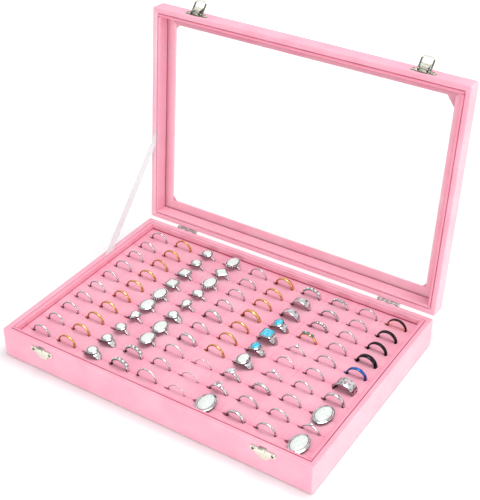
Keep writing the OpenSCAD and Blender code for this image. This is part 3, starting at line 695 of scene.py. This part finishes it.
# In each corner of the window the velvet is pulled across in a small web.
frame_points = list(frame_loops.reshape(-1, 3))
frame_faces = grid_faces(*frame_loops.shape[:2], True, True)
window = np.array([half_w - border, half_d - border])
for side_x, side_y, along_x, along_y in ((1, -1, 8.5, 11), (-1, -1, 4, 4), (-1, 1, 4.5, 5), (1, 1, 4, 4.5)):
    first = len(frame_points)
    web = window + [[0.6 * mm, 0.6 * mm], [-along_x * mm, 0.3 * mm], [0.3 * mm, -along_y * mm]]
    for height in (lid_top - border_thick + 0.2 * mm, lid_top - 0.7 * mm):
        frame_points += [np.array([side_x * x, side_y * y, height]) for x, y in web]
    frame_faces += [tuple(first + k for k in face) for face in
                    ((0, 1, 2), (3, 5, 4), (0, 1, 4, 3), (1, 2, 5, 4), (2, 0, 3, 5))]
# Painted shade: the webs are painted dark, darkest in the corner.
web_painted_shade = [-0.6, -0.15, -0.45] * 8
piece("lid_velvet_frame", opened(ripple(frame_points, 30 * mm, 0.1 * mm, 3)), frame_faces, covering, "lid",
      ["lid_frame"], np.concatenate([frame_painted_tones.ravel(), web_painted_shade]), right_painted_light=0.6)

# ---- Lid lining ----
# Four padded strips line the lid and hold the glass against the border. They are thicker and softer
# than those in the base.

lid_liner_thick = 2.9 * mm
lid_liner_rounding = 1.2 * mm
lid_liner_crown = 0.25 * mm
glass_thick = 1.5 * mm
glass_back = lid_top - border_thick - glass_thick
lid_bars, lid_bar_faces = bars_mesh(lining_bars(
    groove, lid_liner_thick, lid_liner_thick, -glass_back, -lid_rim, -glass_back, lid_liner_rounding,
    liner_joint, lid_liner_crown))
lid_bars[:, 2] *= -1
piece("lid_velvet_lining", opened(ripple(lid_bars, 18 * mm, 0.16 * mm, 4)), lid_bar_faces, lining_velvet,
      "lid", ["lid_liner"], lining_painted_tones(-0.25, -0.9, (0.06, 0.36, 0.28, 0.12)))

# ---- Window ----
# A pane of clear glass, held between the border and the padded lining.

glass = Finish("window_glass", Base_Color=(1, 1, 1, 1), Roughness=0.03, IOR=1.45, Alpha=0.1)
glass_haze = glass.between(0.45, 0.7, glass.noise(60 * mm, 3))
glass.set(Roughness=0.02 + glass_haze * 0.02)
coat(nodes["window_pane"].data, glass)

# ---- Hinges, catches and latches ----
# Stamped and plated steel. The plates were punched from sheet, so their edges are a little rounded.
# One node group sets out the screw heads, and further on the rings and their small parts.

body_of = {n: body for body, names in record["behaviour"]["bodies"].items() for n in names}


def plating(name, colour, dull, roughness, tarnish=0.35, dark_colour="#3a3836", lining=None):
    """Polished plate: bright, with wipe marks, and a lining where the dark attribute is 2. Where that
    attribute is high the plate takes its dark colour: real blackening in engraved grounds, painted shade and
    painted reflection on insides, edges and recesses.
    """
    made = Finish(name, Metallic=1.0, Roughness=roughness)
    patina_and_painted_shade = made.attribute("dark")
    cloud = made.between(0.4, 0.75, made.noise(4 * mm, 4))
    stretch = made.node("ShaderNodeMapping", None, made.place(), Scale=(1, 1, 7))
    wipes = made.noise(0.7 * mm, 3, stretch)
    metal = made.mix(cloud * tarnish, colour, dull)
    metal = made.mix(patina_and_painted_shade, metal, dark_colour)
    if lining:
        metal = made.mix(patina_and_painted_shade - 1, metal, lining)
    made.set(Base_Color=metal, Roughness=roughness + made.between(0.4, 0.8, wipes) * 0.1 + patina_and_painted_shade * 0.25)
    made.bump(wipes, 0.01 * mm, 0.3)
    return made


nickel = plating("pale_nickel", "#eeeede", "#c2c2aa", 0.2, dark_colour="#33332a")
hinge_steel = plating("hinge_steel", "#c4c4c2", "#8f8f8d", 0.28)
pin_steel = plating("pin_steel", "#b9b9b7", "#7f7f7d", 0.3)


def applied(made):
    """The mesh that an object's modifiers give."""
    return bpy.data.meshes.new_from_object(made.evaluated_get(bpy.context.evaluated_depsgraph_get()))


def dressed(node_name, finish, width, painted_edge_tone=0.0):
    """A copy of a CAD node with the rounded edges of stamped metal, and painted shade on the cut sides of the
    sheet.
    """
    mesh = nodes[node_name].data.copy()
    shape = bmesh.new()
    shape.from_mesh(mesh)
    bmesh.ops.remove_doubles(shape, verts=shape.verts, dist=0.002 * mm)
    bmesh.ops.dissolve_limit(shape, angle_limit=radians(1.5), verts=shape.verts, edges=shape.edges)
    shape.to_mesh(mesh)
    shape.free()
    made = new_object(f"{node_name}_plated", mesh)
    soften = made.modifiers.new("rounded_edges", "BEVEL")
    soften.width = width
    soften.segments = 2
    soften.limit_method = "ANGLE"
    soften.angle_limit = radians(35)
    made.data = applied(made)
    made.modifiers.clear()
    coat(made.data, finish)
    normals = np.array([face.normal[:] for face in made.data.polygons])
    areas = np.array([face.area for face in made.data.polygons])
    flat_way = np.linalg.eigh((normals * areas[:, None]).T @ normals)[1][:, -1]
    mark(made.data, "dark", painted_edge_tone * (np.abs(normals @ flat_way) < 0.6), "FACE")
    return settle(made, body_of[node_name], [node_name])


loop_leg = 3.3 * mm
loop_bar = 2.2 * mm
for side in ("left", "right"):
    # Painted shade on the cut sides: a little on the catches, most on the latch plates and levers.
    dressed(f"catch_{side}", nickel, 0.18 * mm, 0.6)
    dressed(f"latch_plate_{side}", nickel, 0.15 * mm, 1.0)
    dressed(f"lever_{side}", nickel, 0.15 * mm, 0.9)
    # The loop's legs are painted dark as shade and its end bar is left bright, so the flat faces are cut
    # between them.
    loop_piece = dressed(f"loop_{side}", nickel, 0.35 * mm)
    loop_low, loop_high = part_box(f"loop_{side}")
    loop_middle = (loop_low.x + loop_high.x) / 2
    bar_low = loop_high.z - loop_bar
    shape = bmesh.new()
    shape.from_mesh(loop_piece.data)
    for place, way in (((loop_middle - loop_leg, 0, 0), (1, 0, 0)),
                       ((loop_middle + loop_leg, 0, 0), (1, 0, 0)), ((0, 0, bar_low), (0, 0, 1))):
        bmesh.ops.bisect_plane(shape, geom=[*shape.verts, *shape.edges, *shape.faces],
                               plane_co=place, plane_no=way)
    shape.to_mesh(loop_piece.data)
    shape.free()
    loop_painted_shade = [0.85 * (abs(face.center.x - loop_middle) > loop_leg and face.center.z < bar_low)
                  for face in loop_piece.data.polygons]
    loop_piece.data.attributes["dark"].data.foreach_set("value", loop_painted_shade)
    dressed(f"loop_pin_{side}", pin_steel, 0.1 * mm)
for part in ("hinge_base_leaves", "hinge_lid_leaves", "hinge_pins", "lever_pins", "hinge_base_screws",
             "hinge_lid_screws"):
    dressed(part, hinge_steel if "leaves" in part else pin_steel, 0.12 * mm)


def round_turn(count):
    """Angles evenly round a circle."""
    return np.linspace(0, 2 * pi, count, endpoint=False)


def skin(rings, tones, hoop=False):
    """A mesh from loops of points in millimetres, with their dark tones: a hoop or a closed stack."""
    rings = np.asarray(rings, float)
    size = rings.shape[:2]
    faces = grid_faces(*size, True, True) if hoop else stack_faces(*size)
    mesh = bpy.data.meshes.new("pattern")
    mesh.from_pydata([tuple(p) for p in rings.reshape(-1, 3) * mm], [], faces)
    mark(mesh, "dark", tones)
    return mesh


def joined(meshes):
    """One mesh from several that share a finish."""
    shape = bmesh.new()
    for mesh in meshes:
        shape.from_mesh(mesh)
    made = bpy.data.meshes.new("joined")
    shape.to_mesh(made)
    shape.free()
    return made


set_out_group = bpy.data.node_groups.new("set_out", "GeometryNodeTree")
for socket_name, kind in (("Geometry", "Geometry"), ("Pattern", "Object"), ("Lean", "Float"),
                          ("Turn", "Float"), ("Seed", "Int"), ("Material", "Material")):
    set_out_group.interface.new_socket(socket_name, in_out="INPUT", socket_type=f"NodeSocket{kind}")
set_out_group.interface.new_socket("Geometry", in_out="OUTPUT", socket_type="NodeSocketGeometry")
net = Tree(set_out_group)
given = {s.name: Wire(net, s) for s in set_out_group.nodes.new("NodeGroupInput").outputs if s.name}
outwards = net.node("GeometryNodeInputNamedAttribute", {"data_type": "FLOAT_VECTOR"}, "out")
upright = net.node("FunctionNodeAlignRotationToVector", {"axis": "Z"}, None, None, outwards)
lean, turn = (net.node("FunctionNodeRandomValue", {"data_type": "FLOAT"}, None, None, given[name] * -1,
                       given[name], None, None, None, None, given["Seed"] + shift, output=1)
              for shift, name in enumerate(("Lean", "Turn")))
tilt = net.node("FunctionNodeEulerToRotation", None, net.node("ShaderNodeCombineXYZ", None, lean, None, turn))
placed = net.node("FunctionNodeRotateRotation", {"rotation_space": "LOCAL"}, upright, tilt)
pattern_shape = net.node("GeometryNodeObjectInfo", None, given["Pattern"], output=4)
copies = net.node("GeometryNodeInstanceOnPoints", None, given["Geometry"], None, pattern_shape, None, None,
                  placed)
real = net.node("GeometryNodeRealizeInstances", None, copies)
coated = net.node("GeometryNodeSetMaterial", None, real, None, given["Material"])
net.plug(set_out_group.nodes.new("NodeGroupOutput").inputs["Geometry"], coated)
set_out_inputs = {s.name: s.identifier for s in set_out_group.interface.items_tree if s.in_out == "INPUT"}


def set_out(pattern, places, outs, finish, lean=0.0, turn=0.0, seed=0):
    """A copy of the pattern at every place, its z axis along "out", by the node group above."""
    points = bpy.data.meshes.new("places")
    points.from_pydata([tuple(p) for p in places], [], [])
    ways = points.attributes.new("out", "FLOAT_VECTOR", "POINT")
    ways.data.foreach_set("vector", np.ravel(outs).astype(np.float32))
    model = new_object("pattern", pattern)
    holder = new_object("places", points)
    spread = holder.modifiers.new("set_out", "NODES")
    spread.node_group = set_out_group
    for name, value in dict(Pattern=model, Lean=lean, Turn=turn, Seed=seed, Material=finish.material).items():
        spread[set_out_inputs[name]] = value
    result = applied(holder)
    for made in (model, holder):
        bpy.data.objects.remove(made)
    return result


head_high = 0.7


def screw_pattern():
    """A pan head with a cross recess, on a short shank, painted dark as shade in the recess and the middle of
    the head.
    """
    recess_reach, recess_half, recess_deep = 1.1, 0.27, 0.45
    flat_top = [(r, head_high) for r in (0.03, 0.2, 0.4, 0.6)]
    rings, tones = [], []
    for r, z in (*flat_top, (0.85, 0.69), (1.05, 0.67), (1.3, 0.64), (1.58, 0.52), (1.7, 0.36), (1.7, 0),
                 (0.8, 0), (0.8, -5)):
        loop = []
        for a in round_turn(48):
            x, y = r * cos(a), r * sin(a)
            sunk = r < recess_reach and min(abs(x), abs(y)) < recess_half
            loop.append((x, y, z - recess_deep * sunk))
            tones.append(1.0 if sunk else 0.8 if r < 1.2 else 0.2)
        rings.append(loop)
    return skin(rings, tones)


def screw_heads(node_name, out):
    """Where the head of each screw of a CAD node sits, from the node's separate shells."""
    shape = bmesh.new()
    shape.from_mesh(nodes[node_name].data)
    bmesh.ops.remove_doubles(shape, verts=shape.verts, dist=0.002 * mm)
    unseen, places = set(shape.verts), []
    for start in shape.verts:
        if start not in unseen:
            continue
        unseen.remove(start)
        ahead, shell = [start], []
        while ahead:
            vert = ahead.pop()
            shell.append(vert.co.copy())
            near = [e.other_vert(vert) for e in vert.link_edges if e.other_vert(vert) in unseen]
            unseen.difference_update(near)
            ahead += near
        middle = sum(shell, Vector()) / len(shell)
        top = max(p.dot(out) for p in shell)
        places.append(middle + out * (top - head_high * mm - middle.dot(out)))
    shape.free()
    return places


screw_steel = plating("screw_steel", "#d6d6c6", "#8f8f80", 0.25, dark_colour="#1d1c18")
front_way = Vector((0, -1, 0))
for part, out in (("catch_screws", front_way), ("latch_screws", open_up.to_3x3() @ front_way)):
    heads = screw_heads(part, out)
    screw_mesh = set_out(screw_pattern(), heads, [out] * len(heads), screw_steel, 0.0, pi, 7)
    settle(new_object(f"{part}_crossed", screw_mesh), body_of[part], [part])

# ---- Ribbon ----
# A white satin ribbon, pulled straight between the grooves of base and lid on the left, with its ends glued
# in.

ribbon_width = 10.5 * mm
ribbon_thick = 0.16 * mm
ribbon_selvedge = 0.03 * mm
ribbon_tail = 9 * mm
ribbon_x = -half_w + wall + groove / 2
ribbon_low = Vector((ribbon_x, 38 * mm, base_rim))
ribbon_high = open_up @ Vector((ribbon_x, 22 * mm, lid_rim))
ribbon_run = (ribbon_high - ribbon_low).normalized()
ribbon_across = Vector((0, -ribbon_run.z, ribbon_run.y))
ribbon_length = (ribbon_high - ribbon_low).length + 2 * ribbon_tail
ribbon_steps, ribbon_ribs = 150, 18
ribbon_points = []
for i in range(ribbon_steps + 1):
    centre = ribbon_low + ribbon_run * (ribbon_length * i / ribbon_steps - ribbon_tail)
    for j in range(ribbon_ribs + 1):
        v = j / ribbon_ribs * 2 - 1
        selvedge = ribbon_selvedge if abs(v) > 0.93 else 0.0
        middle = centre + ribbon_across * v * ribbon_width / 2
        aside = Vector((ribbon_thick / 2 + selvedge, 0, 0))
        ribbon_points.append([middle - aside, middle + aside])
ribbon_points = np.array(ribbon_points).transpose(1, 0, 2)
one_side = grid_faces(ribbon_steps + 1, ribbon_ribs + 1)
numbers = np.arange((ribbon_steps + 1) * (ribbon_ribs + 1)).reshape(ribbon_steps + 1, -1)
border_line = [*numbers[0, :-1], *numbers[:-1, -1], *numbers[-1, :0:-1], *numbers[:0:-1, 0]]
ribbon_faces = one_side + [tuple(i + numbers.size for i in reversed(f)) for f in one_side]
ribbon_faces += [(int(a), int(b), int(b) + numbers.size, int(a) + numbers.size)
                 for a, b in zip(border_line, border_line[1:] + border_line[:1])]
satin = Finish("ribbon_satin", Roughness=0.45, Anisotropic=0.4, Sheen_Weight=0.3, Alpha=0.7)
threads = satin.node("ShaderNodeMapping", None, satin.place(), Scale=(1, 0.08, 0.08))
satin.bump(satin.noise(0.25 * mm, 2, threads), 0.02 * mm, 0.4)
satin.set(Base_Color=satin.mix(satin.noise(0.5 * mm, 2) * 0.4, "#f8ffff", "#eef8f7"))
ribbon = new_object("stay_ribbon", bpy.data.meshes.new("stay_ribbon"))
ribbon.data.from_pydata([tuple(p) for p in ribbon_points.reshape(-1, 3)], [], ribbon_faces)
coat(ribbon.data, satin)
ribbon.data.shade_smooth()
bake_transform(ribbon)
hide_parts("lid_stay_ribbon")

# ---- Ring metals and stones ----
# Polished silver, blackened in its engraved grounds and painted dark as shade and reflection on its insides
# and edges, yellow and black plating, opaque and cut stones. Black cards, seen only in reflections, give the
# polished metal its dark lines.

# The silver's dark colour is a maroon brown: painted shade with a painted reflection of the pink velvet in
# it.
silver = plating("ring_silver", "#e4e4e6", "#acacb2", 0.12, 0.8, dark_colour="#33282b")
gold = plating("ring_gold", "#e9b878", "#c4854a", 0.16, 0.5, dark_colour="#8a5014")
blacking = plating("ring_black", "#33333a", "#1c1c20", 0.14, 0.5, dark_colour="#0a0a0c", lining="#d8983f")
blue_plate = plating("ring_blue", "#3f76c8", "#1d4088", 0.12, 0.8, dark_colour="#0a1a44")


def stone(name, lumps, first, second, dark_colour=None, **sockets):
    """A polished stone, its colours in clouds of one size and detail, and darker where the dark attribute is
    high, as painted shade and painted reflection.
    """
    made = Finish(name, **sockets)
    size, detail, *limits = lumps
    cloud = made.noise(size * mm, detail)
    colour = made.mix(made.between(*limits, cloud) if limits else cloud, first, second)
    made.set(Base_Color=made.mix(made.attribute("dark"), colour, dark_colour) if dark_colour else colour)
    return made


white_stone = stone("white_stone", (2.6, 3, 0.35, 0.7), "#ebf1ee", "#dae4df", "#5d6663", Roughness=0.1,
                    Coat_Weight=0.3)
turquoise = stone("turquoise_stone", (2.2, 5, 0.44, 0.56), "#1fb4dc", "#62d3ea", Roughness=0.12,
                  Coat_Weight=0.3)
crystal = stone("clear_stone", (0.9, 1, 0.4, 0.62), "#c9d3da", "#fbfdff", "#4b555e", Metallic=0.75,
                Roughness=0.04)
green_stone = stone("green_stone", (1.5, 2), "#174f49", "#3c9484", Roughness=0.06, Coat_Weight=0.4)

card_finish = Finish("black_card", Base_Color=(0, 0, 0, 1), Roughness=1.0)
card_places = (((-1.5, -0.7, 0.75), 0.9), ((-0.1, -1.9, 1.2), 0.5), ((0.4, 1.5, 0.9), 0.5),
               ((0.9, -0.9, 1.5), 0.4), ((-0.5, 0.3, 1.7), 0.4))
for number, (place, size) in enumerate(card_places):
    card_turn = (-Vector(place)).to_track_quat("Z", "Y")
    card = square(f"black_card_{number}", size / 2, card_finish, place, card_turn)
    card.visible_camera = card.visible_diffuse = card.visible_shadow = card.visible_transmission = False

# ---- Ring patterns ----
# Each style is made once, standing upright round the y axis: a shank with its relief, a cup for a stone
# and the stone. Beads and rows of small stones are set out along their lines by Geometry Nodes.


def crest(style):
    """How high a shank reaches above its centre."""
    return SHANKS[style][0] / 2


def shank(style, relief, flare=0.0, dome=0.25, steps=84, inside=0.7):
    """A band with a domed outer face. Its relief tells how deep and how dark each point lies; its side edges
    are painted dark as shade, and its inside takes the inside tone, painted shade except where that is 2, the
    gilt lining.
    """
    outer, width, thick, top = SHANKS[style]
    rings, tones = [], []
    for t in round_turn(steps):
        wide = width
        if flare:
            flared = smooth(outer / 2 - top - 3, outer / 2 - 1, outer / 2 * cos(t))
            wide += (flare - width) * float(flared)
        loop = []
        for v in (-1, -0.94, -0.78, -0.52, -0.26, 0, 0.26, 0.52, 0.78, 0.94, 1):
            sunk, tone = relief(t, v)
            r = outer / 2 - dome * v * v - 0.2 * max(0, (abs(v) - 0.78) / 0.22) ** 2 - sunk
            loop.append((r * sin(t), v * wide / 2, r * cos(t)))
            # Painted shade: the band's side edges are painted dark.
            tones.append(max(tone, 0.7 * (abs(v) > 0.97)))
        for v in (0.97, 0.8, -0.8, -0.97):
            r = outer / 2 - thick + 0.12 * (abs(v) > 0.9)
            loop.append((r * sin(t), v * wide / 2, r * cos(t)))
            tones.append(inside)
        rings.append(loop)
    return [skin(rings, tones, hoop=True)]


def twist(style, turns, fat=0.34, steps=150):
    """Two wires wound round each other into a shank, painted dark as shade on their inner sides and where one
    passes behind the other.
    """
    outer, width, thick, top = SHANKS[style]
    meshes = []
    for strand in (0, pi):
        rings, tones = [], []
        for t in round_turn(steps):
            phase = turns * t + strand
            centre = outer / 2 - thick / 2 + (thick / 2 - fat * 0.8) * cos(phase)
            loop = []
            for a in round_turn(7):
                r = centre + fat * 0.8 * cos(a)
                y = (width / 2 - fat) * sin(phase) + fat * sin(a)
                loop.append((r * sin(t), y, r * cos(t)))
                tones.append(0.8 if cos(a) < -0.1 or cos(phase) < -0.4 else 0.1)
            rings.append(loop)
        meshes.append(skin(rings, tones, hoop=True))
    return meshes


def plain(t, v):
    return 0.0, 0.0


def cut(t, v):
    """Small flat facets cut slantwise by a diamond tool, some of them painted dark as reflections."""
    wave = sin(26 * t + 2.5 * v)
    return 0.1 * max(0, wave), 0.6 * (wave > 0.45)


def lined(t, v):
    """A fine groove along each edge."""
    return 0.08 * (0.4 < abs(v) < 0.6), 0.55 * (0.4 < abs(v) < 0.6)


def scrolled(t, v):
    """Engraved scrolls with blackened ground between them."""
    wave = sin(11 * t + 2 * sin(3.2 * v)) * cos(2.6 * v + 1.5 * sin(7 * t))
    ground = 1 if wave < -0.3 else 0
    return (0.2 * ground, 0.75 * ground) if abs(v) < 0.9 else (0, 0)


def fluted(t, v):
    """Flutes that fan out towards the stone."""
    wave = sin(11 * v)
    return 0.2 * max(0, wave), 0.7 * (wave > 0.6)


def laced(t, v):
    """An open lattice of crossing wires on a solid band, its gaps sunk a little and painted dark as the shade
    seen through them.
    """
    gap = 1 if sin(12 * t + 2.4 * v) * sin(12 * t - 2.4 * v) < 0.0 and abs(v) < 0.8 else 0
    return 0.35 * gap, 0.95 * gap


def paved(t, v):
    """Rows of tiny stones set close together."""
    spark = sin(34 * t) * sin(9 * v + 3 * t)
    return 0.12 * (spark < -0.1), 0.45 * (spark < -0.4)


def milled(t, v):
    """Fine cross cuts between two bright edges."""
    wave = sin(44 * t)
    return (0.12 * max(0, wave), 0.6 * (wave > 0.2)) if abs(v) < 0.6 else (0, 0)


def outline(shape, a, b, count=32):
    """Points round a stone: oval, square with soft corners, or pear."""
    t = round_turn(count) + 0.01
    if shape in ("square", "turned"):
        soft = lambda w: np.sign(w) * np.abs(w) ** 0.3
        points = np.column_stack([a * soft(np.cos(t)), b * soft(np.sin(t))])
        if shape == "turned":
            points = points @ np.array([[1, 1], [-1, 1]]) * sqrt(0.5)
        return points
    if shape == "pear":
        return np.column_stack([1.28 * a * np.sin(t) * np.abs(np.sin(t / 2)) ** 1.4, -b * np.cos(t)])
    return np.column_stack([a * np.cos(t), b * np.sin(t)])


def stacked(shape, a, b, levels, height, count=32):
    """Loops of one outline at several sizes and heights: (grown by, height, tone) in millimetres."""
    rings, tones = [], []
    for grown, z, tone in levels:
        loop = outline(shape, max(a + grown, 0.02), max(b + grown, 0.02), count)
        rings.append(np.column_stack([loop, np.full(count, height + z)]))
        tones.append([tone] * count)
    return np.array(rings), tones


def cup(style, shape, a, b, rim=1.0):
    """The bezel: a plate that flares up from the shank, a groove and a bright rim; the foot, outer wall,
    groove and the seat under the stone are painted dark as shade.
    """
    small = min(a, b)
    levels = [
        (-0.5 * small, -0.6, 0.6), (-0.3 * small, -0.4, 0.6), (0.9 * rim, -0.2, 0.95), (1.18 * rim, 0, 0.95),
        (1.25 * rim, 0.8, 0.95), (1.22 * rim, 1.02, 0.2), (0.9 * rim, 1.2, 0.0), (0.86 * rim, 0.95, 1.0),
        (0.86 * rim - 0.28, 0.95, 1.0), (0.84 * rim - 0.3, 1.4, 0.0), (0.15, 1.6, 0.0), (0.06, 1.35, 1.0),
        (-0.35, 1.3, 1.0)]
    return skin(*stacked(shape, a, b, levels, crest(style)))


def cabochon(style, shape, a, b, dome=1.3):
    """A polished stone with a domed top, painted darker towards its foot as shade."""
    small = min(a, b)
    levels = [(-0.4, 1.2, 1), (-0.25, 1.55, 0.7)]
    for t in (0.15, 0.35, 0.6, 0.8, 0.93, 1):
        levels.append((-small * (1 - sqrt(1 - t * t)) * 0.999 - 0.25, 1.6 + dome * t, 0.15 * (1 - t)))
    return skin(*stacked(shape, a, b, levels, crest(style)))


def brilliant(height, a, b, depth=0.9, count=12):
    """A cut stone with a flat table and two rows of facets, its lower part and some facets painted dark as
    reflections.
    """
    levels = [(-0.7 * a, -0.9 * depth, 0.6), (0, 0.3 * depth, 0.7), (0, 0.45 * depth, 0.1),
              (-0.22 * a, 0.9 * depth, 0), (-0.45 * a, 1.15 * depth, 0)]
    rings, tones = stacked("oval", a, b, levels, height, count)
    rings[3::2, :, :2] = rings[3::2, :, :2] @ np.array([[0.966, 0.259], [-0.259, 0.966]])
    tones[3] = [0.75 * (i % 3 == 0) for i in range(count)]
    tones[4] = [0.5 * (i % 4 == 1) for i in range(count)]
    return skin(rings, tones)


def bead(radius):
    levels = [(-radius * (1 - sin(t)), -radius * cos(t), 0.0) for t in np.linspace(0.25, 2.9, 6)]
    return skin(*stacked("oval", radius, radius, levels, 0, 9))


def square_cup(a):
    # Painted shade: the cup's foot, outer wall and inside are painted dark.
    levels = [(-0.4, -0.6, 0.7), (0.1, 0.1, 0.8), (0.3, 0.35, 0.0), (0.1, 0.5, 0.1), (0, 0.3, 0.9)]
    return skin(*stacked("square", a, a, levels, 0, 16))


def beaded(style, shape, a, b, count, radius=0.7, height=1.1):
    """A string of beads round a cup."""
    line = outline(shape, a + 0.95, b + 0.95, count)
    places = [(x * mm, y * mm, (crest(style) + height) * mm) for x, y in line]
    return set_out(bead(radius), places, [(0, 0, 1)] * count, silver)


def row_over(style, pattern, count, step, finish, rise=0.0):
    """Copies of a small pattern in a row over the top of a shank."""
    turns = [radians((i - (count - 1) / 2) * step) for i in range(count)]
    outs = [(sin(t), 0, cos(t)) for t in turns]
    radius = (crest(style) + rise) * mm
    return set_out(pattern, [(radius * x, 0, radius * z) for x, _, z in outs], outs, finish)


def prongs(style, a, count=4, fat=0.34):
    """Claws that rise from the shank to the girdle of a cut stone, painted darker at their feet as shade."""
    meshes = []
    for i in range(count):
        t = radians(45 + 360 * i / count)
        rings = []
        for grow, z in ((0.35, -0.5), (0.6, 0.2), (0.95, 1.4), (1.02, 2.1), (0.9, 2.35)):
            centre = np.array([cos(t), sin(t)]) * a * grow
            rings.append([(*(centre + fat * np.array([cos(u), sin(u)])), crest(style) + z)
                          for u in round_turn(6)])
        meshes.append(skin(rings, [[tone] * 6 for tone in (0.5, 0.3, 0, 0, 0)]))
    return meshes


def cup_ring(style, shape, a, b, relief=plain, flare=0.0, dome=1.3, extra=(), rim=1.0):
    return (shank(style, relief, flare) + [cup(style, shape, a, b, rim), *extra],
            [cabochon(style, shape, a, b, dome)])


def claw_ring(style, a, relief=plain, wires=None):
    return (wires or shank(style, relief)) + prongs(style, a), [brilliant(crest(style) + 1.4, a, a)]


def row_ring(style, cup_half, stone_half, step, finish):
    """Five small cut stones in square cups over a plain shank."""
    return (shank(style, plain) + [row_over(style, square_cup(cup_half), 5, step, silver)],
            [row_over(style, brilliant(0.2, stone_half, stone_half, count=8), 5, step, finish)])


# The styles by the nodes of their metal and their stone. A style with a stone has two patterns.
settings = "stone_ring_settings"
RINGS = (
    ("silver_rings", None, dict(
        s=shank("s", cut), l=shank("l", plain), w=shank("w", lined),
        t=shank("t", plain) + [row_over("t", bead(1.05), 3, 17, silver, 0.7)],
        y=twist("y", 22, 0.3), Y=twist("Y", 13, 0.3), c=shank("c", paved), C=shank("C", scrolled),
        x=shank("x", laced), e=shank("e", scrolled, dome=0.3, steps=120))),
    ("gold_rings", None, dict(g=shank("g", lined), G=shank("G", plain), D=shank("D", milled))),
    ("gold_rings", "green_stones", dict(
        m=(shank("m", plain), [row_over("m", brilliant(0, 2, 2.1), 3, 27, green_stone, 0.3)]))),
    ("black_rings", None, dict(
        b=shank("b", plain, inside=2), k=shank("k", lined), K=shank("K", lined, dome=0.35))),
    ("blue_ring", None, dict(B=shank("B", plain))),
    (settings, "white_stones", dict(
        r=cup_ring("r", "round", 4.8, 4.8), q=cup_ring("q", "square", 5, 5.4, dome=0.9),
        d=cup_ring("d", "turned", 5, 5, dome=0.9), a=cup_ring("a", "round", 5.2, 4.6),
        o=cup_ring("o", "oval", 6, 8.6),
        O=cup_ring("O", "oval", 6, 8.6, extra=[beaded("O", "oval", 6, 8.6, 20)], rim=0.5),
        p=cup_ring("p", "pear", 4.6, 6.2), f=cup_ring("f", "round", 4.6, 4.9, fluted, 9),
        h=row_ring("h", 1.9, 1.75, 22.3, white_stone))),
    (settings, "clear_stones", dict(i=row_ring("i", 1.4, 1.3, 18.3, crystal))),
    (settings, None, dict(v=shank("v", paved, 9))),
    (settings, "turquoise_stones", dict(
        u=cup_ring("u", "oval", 3.9, 5.2, scrolled, 9),
        U=cup_ring("U", "square", 5.4, 5.8, scrolled, 12, dome=0.6))),
    (settings, "white_stones", dict(z=cup_ring("z", "oval", 5, 7.4, scrolled, 10))),
    (settings, "clear_stones", dict(
        Z=claw_ring("Z", 4, paved), n=claw_ring("n", 2.1), N=claw_ring("N", 2.1, wires=twist("N", 24, 0.4)))),
    (settings, "white_stones", dict(L=cup_ring("L", "oval", 7, 11.4, rim=1.7))),
)

# ---- Rings ----
# A hundred rings stand in the slots, each a little askew. All rings of one metal make one piece.

ring_finish = dict(
    silver_rings=(silver, "silver"), gold_rings=(gold, "gold"), black_rings=(blacking, "black"),
    blue_ring=(blue_plate, "blue"), stone_ring_settings=(silver, "silver"),
    white_stones=(white_stone, "white_stone"), turquoise_stones=(turquoise, "turquoise"),
    clear_stones=(crystal, "crystal"), green_stones=(green_stone, "green_stone"))
ring_meshes = {node_name: [] for node_name in ring_finish}
styles = [(letter, patterns, metal_node, stone_node) for metal_node, stone_node, group in RINGS
          for letter, patterns in group.items()]
first_seed = 40
for seed, (letter, patterns, metal_node, stone_node) in enumerate(styles, first_seed):
    spots = [ring_centre(r, c) for r in range(rows) for c in range(columns) if LAYOUT[r][c] == letter]
    sway = radians(2.5 if stone_node else 4)
    pairs = zip((metal_node, stone_node), patterns) if stone_node else [(metal_node, patterns)]
    for node_name, meshes in pairs:
        ring_meshes[node_name].append(set_out(joined(meshes), spots, [(0, 0, 1)] * len(spots),
                                              ring_finish[node_name][0], sway, radians(3), seed))
for node_name, (finish, slot_name) in ring_finish.items():
    ring_mesh = joined(ring_meshes[node_name])
    coat(ring_mesh, finish)
    crease = 14 if node_name in ("clear_stones", "green_stones") else 40
    settle(new_object(f"{node_name}_polished", ring_mesh), "base", [node_name], crease)
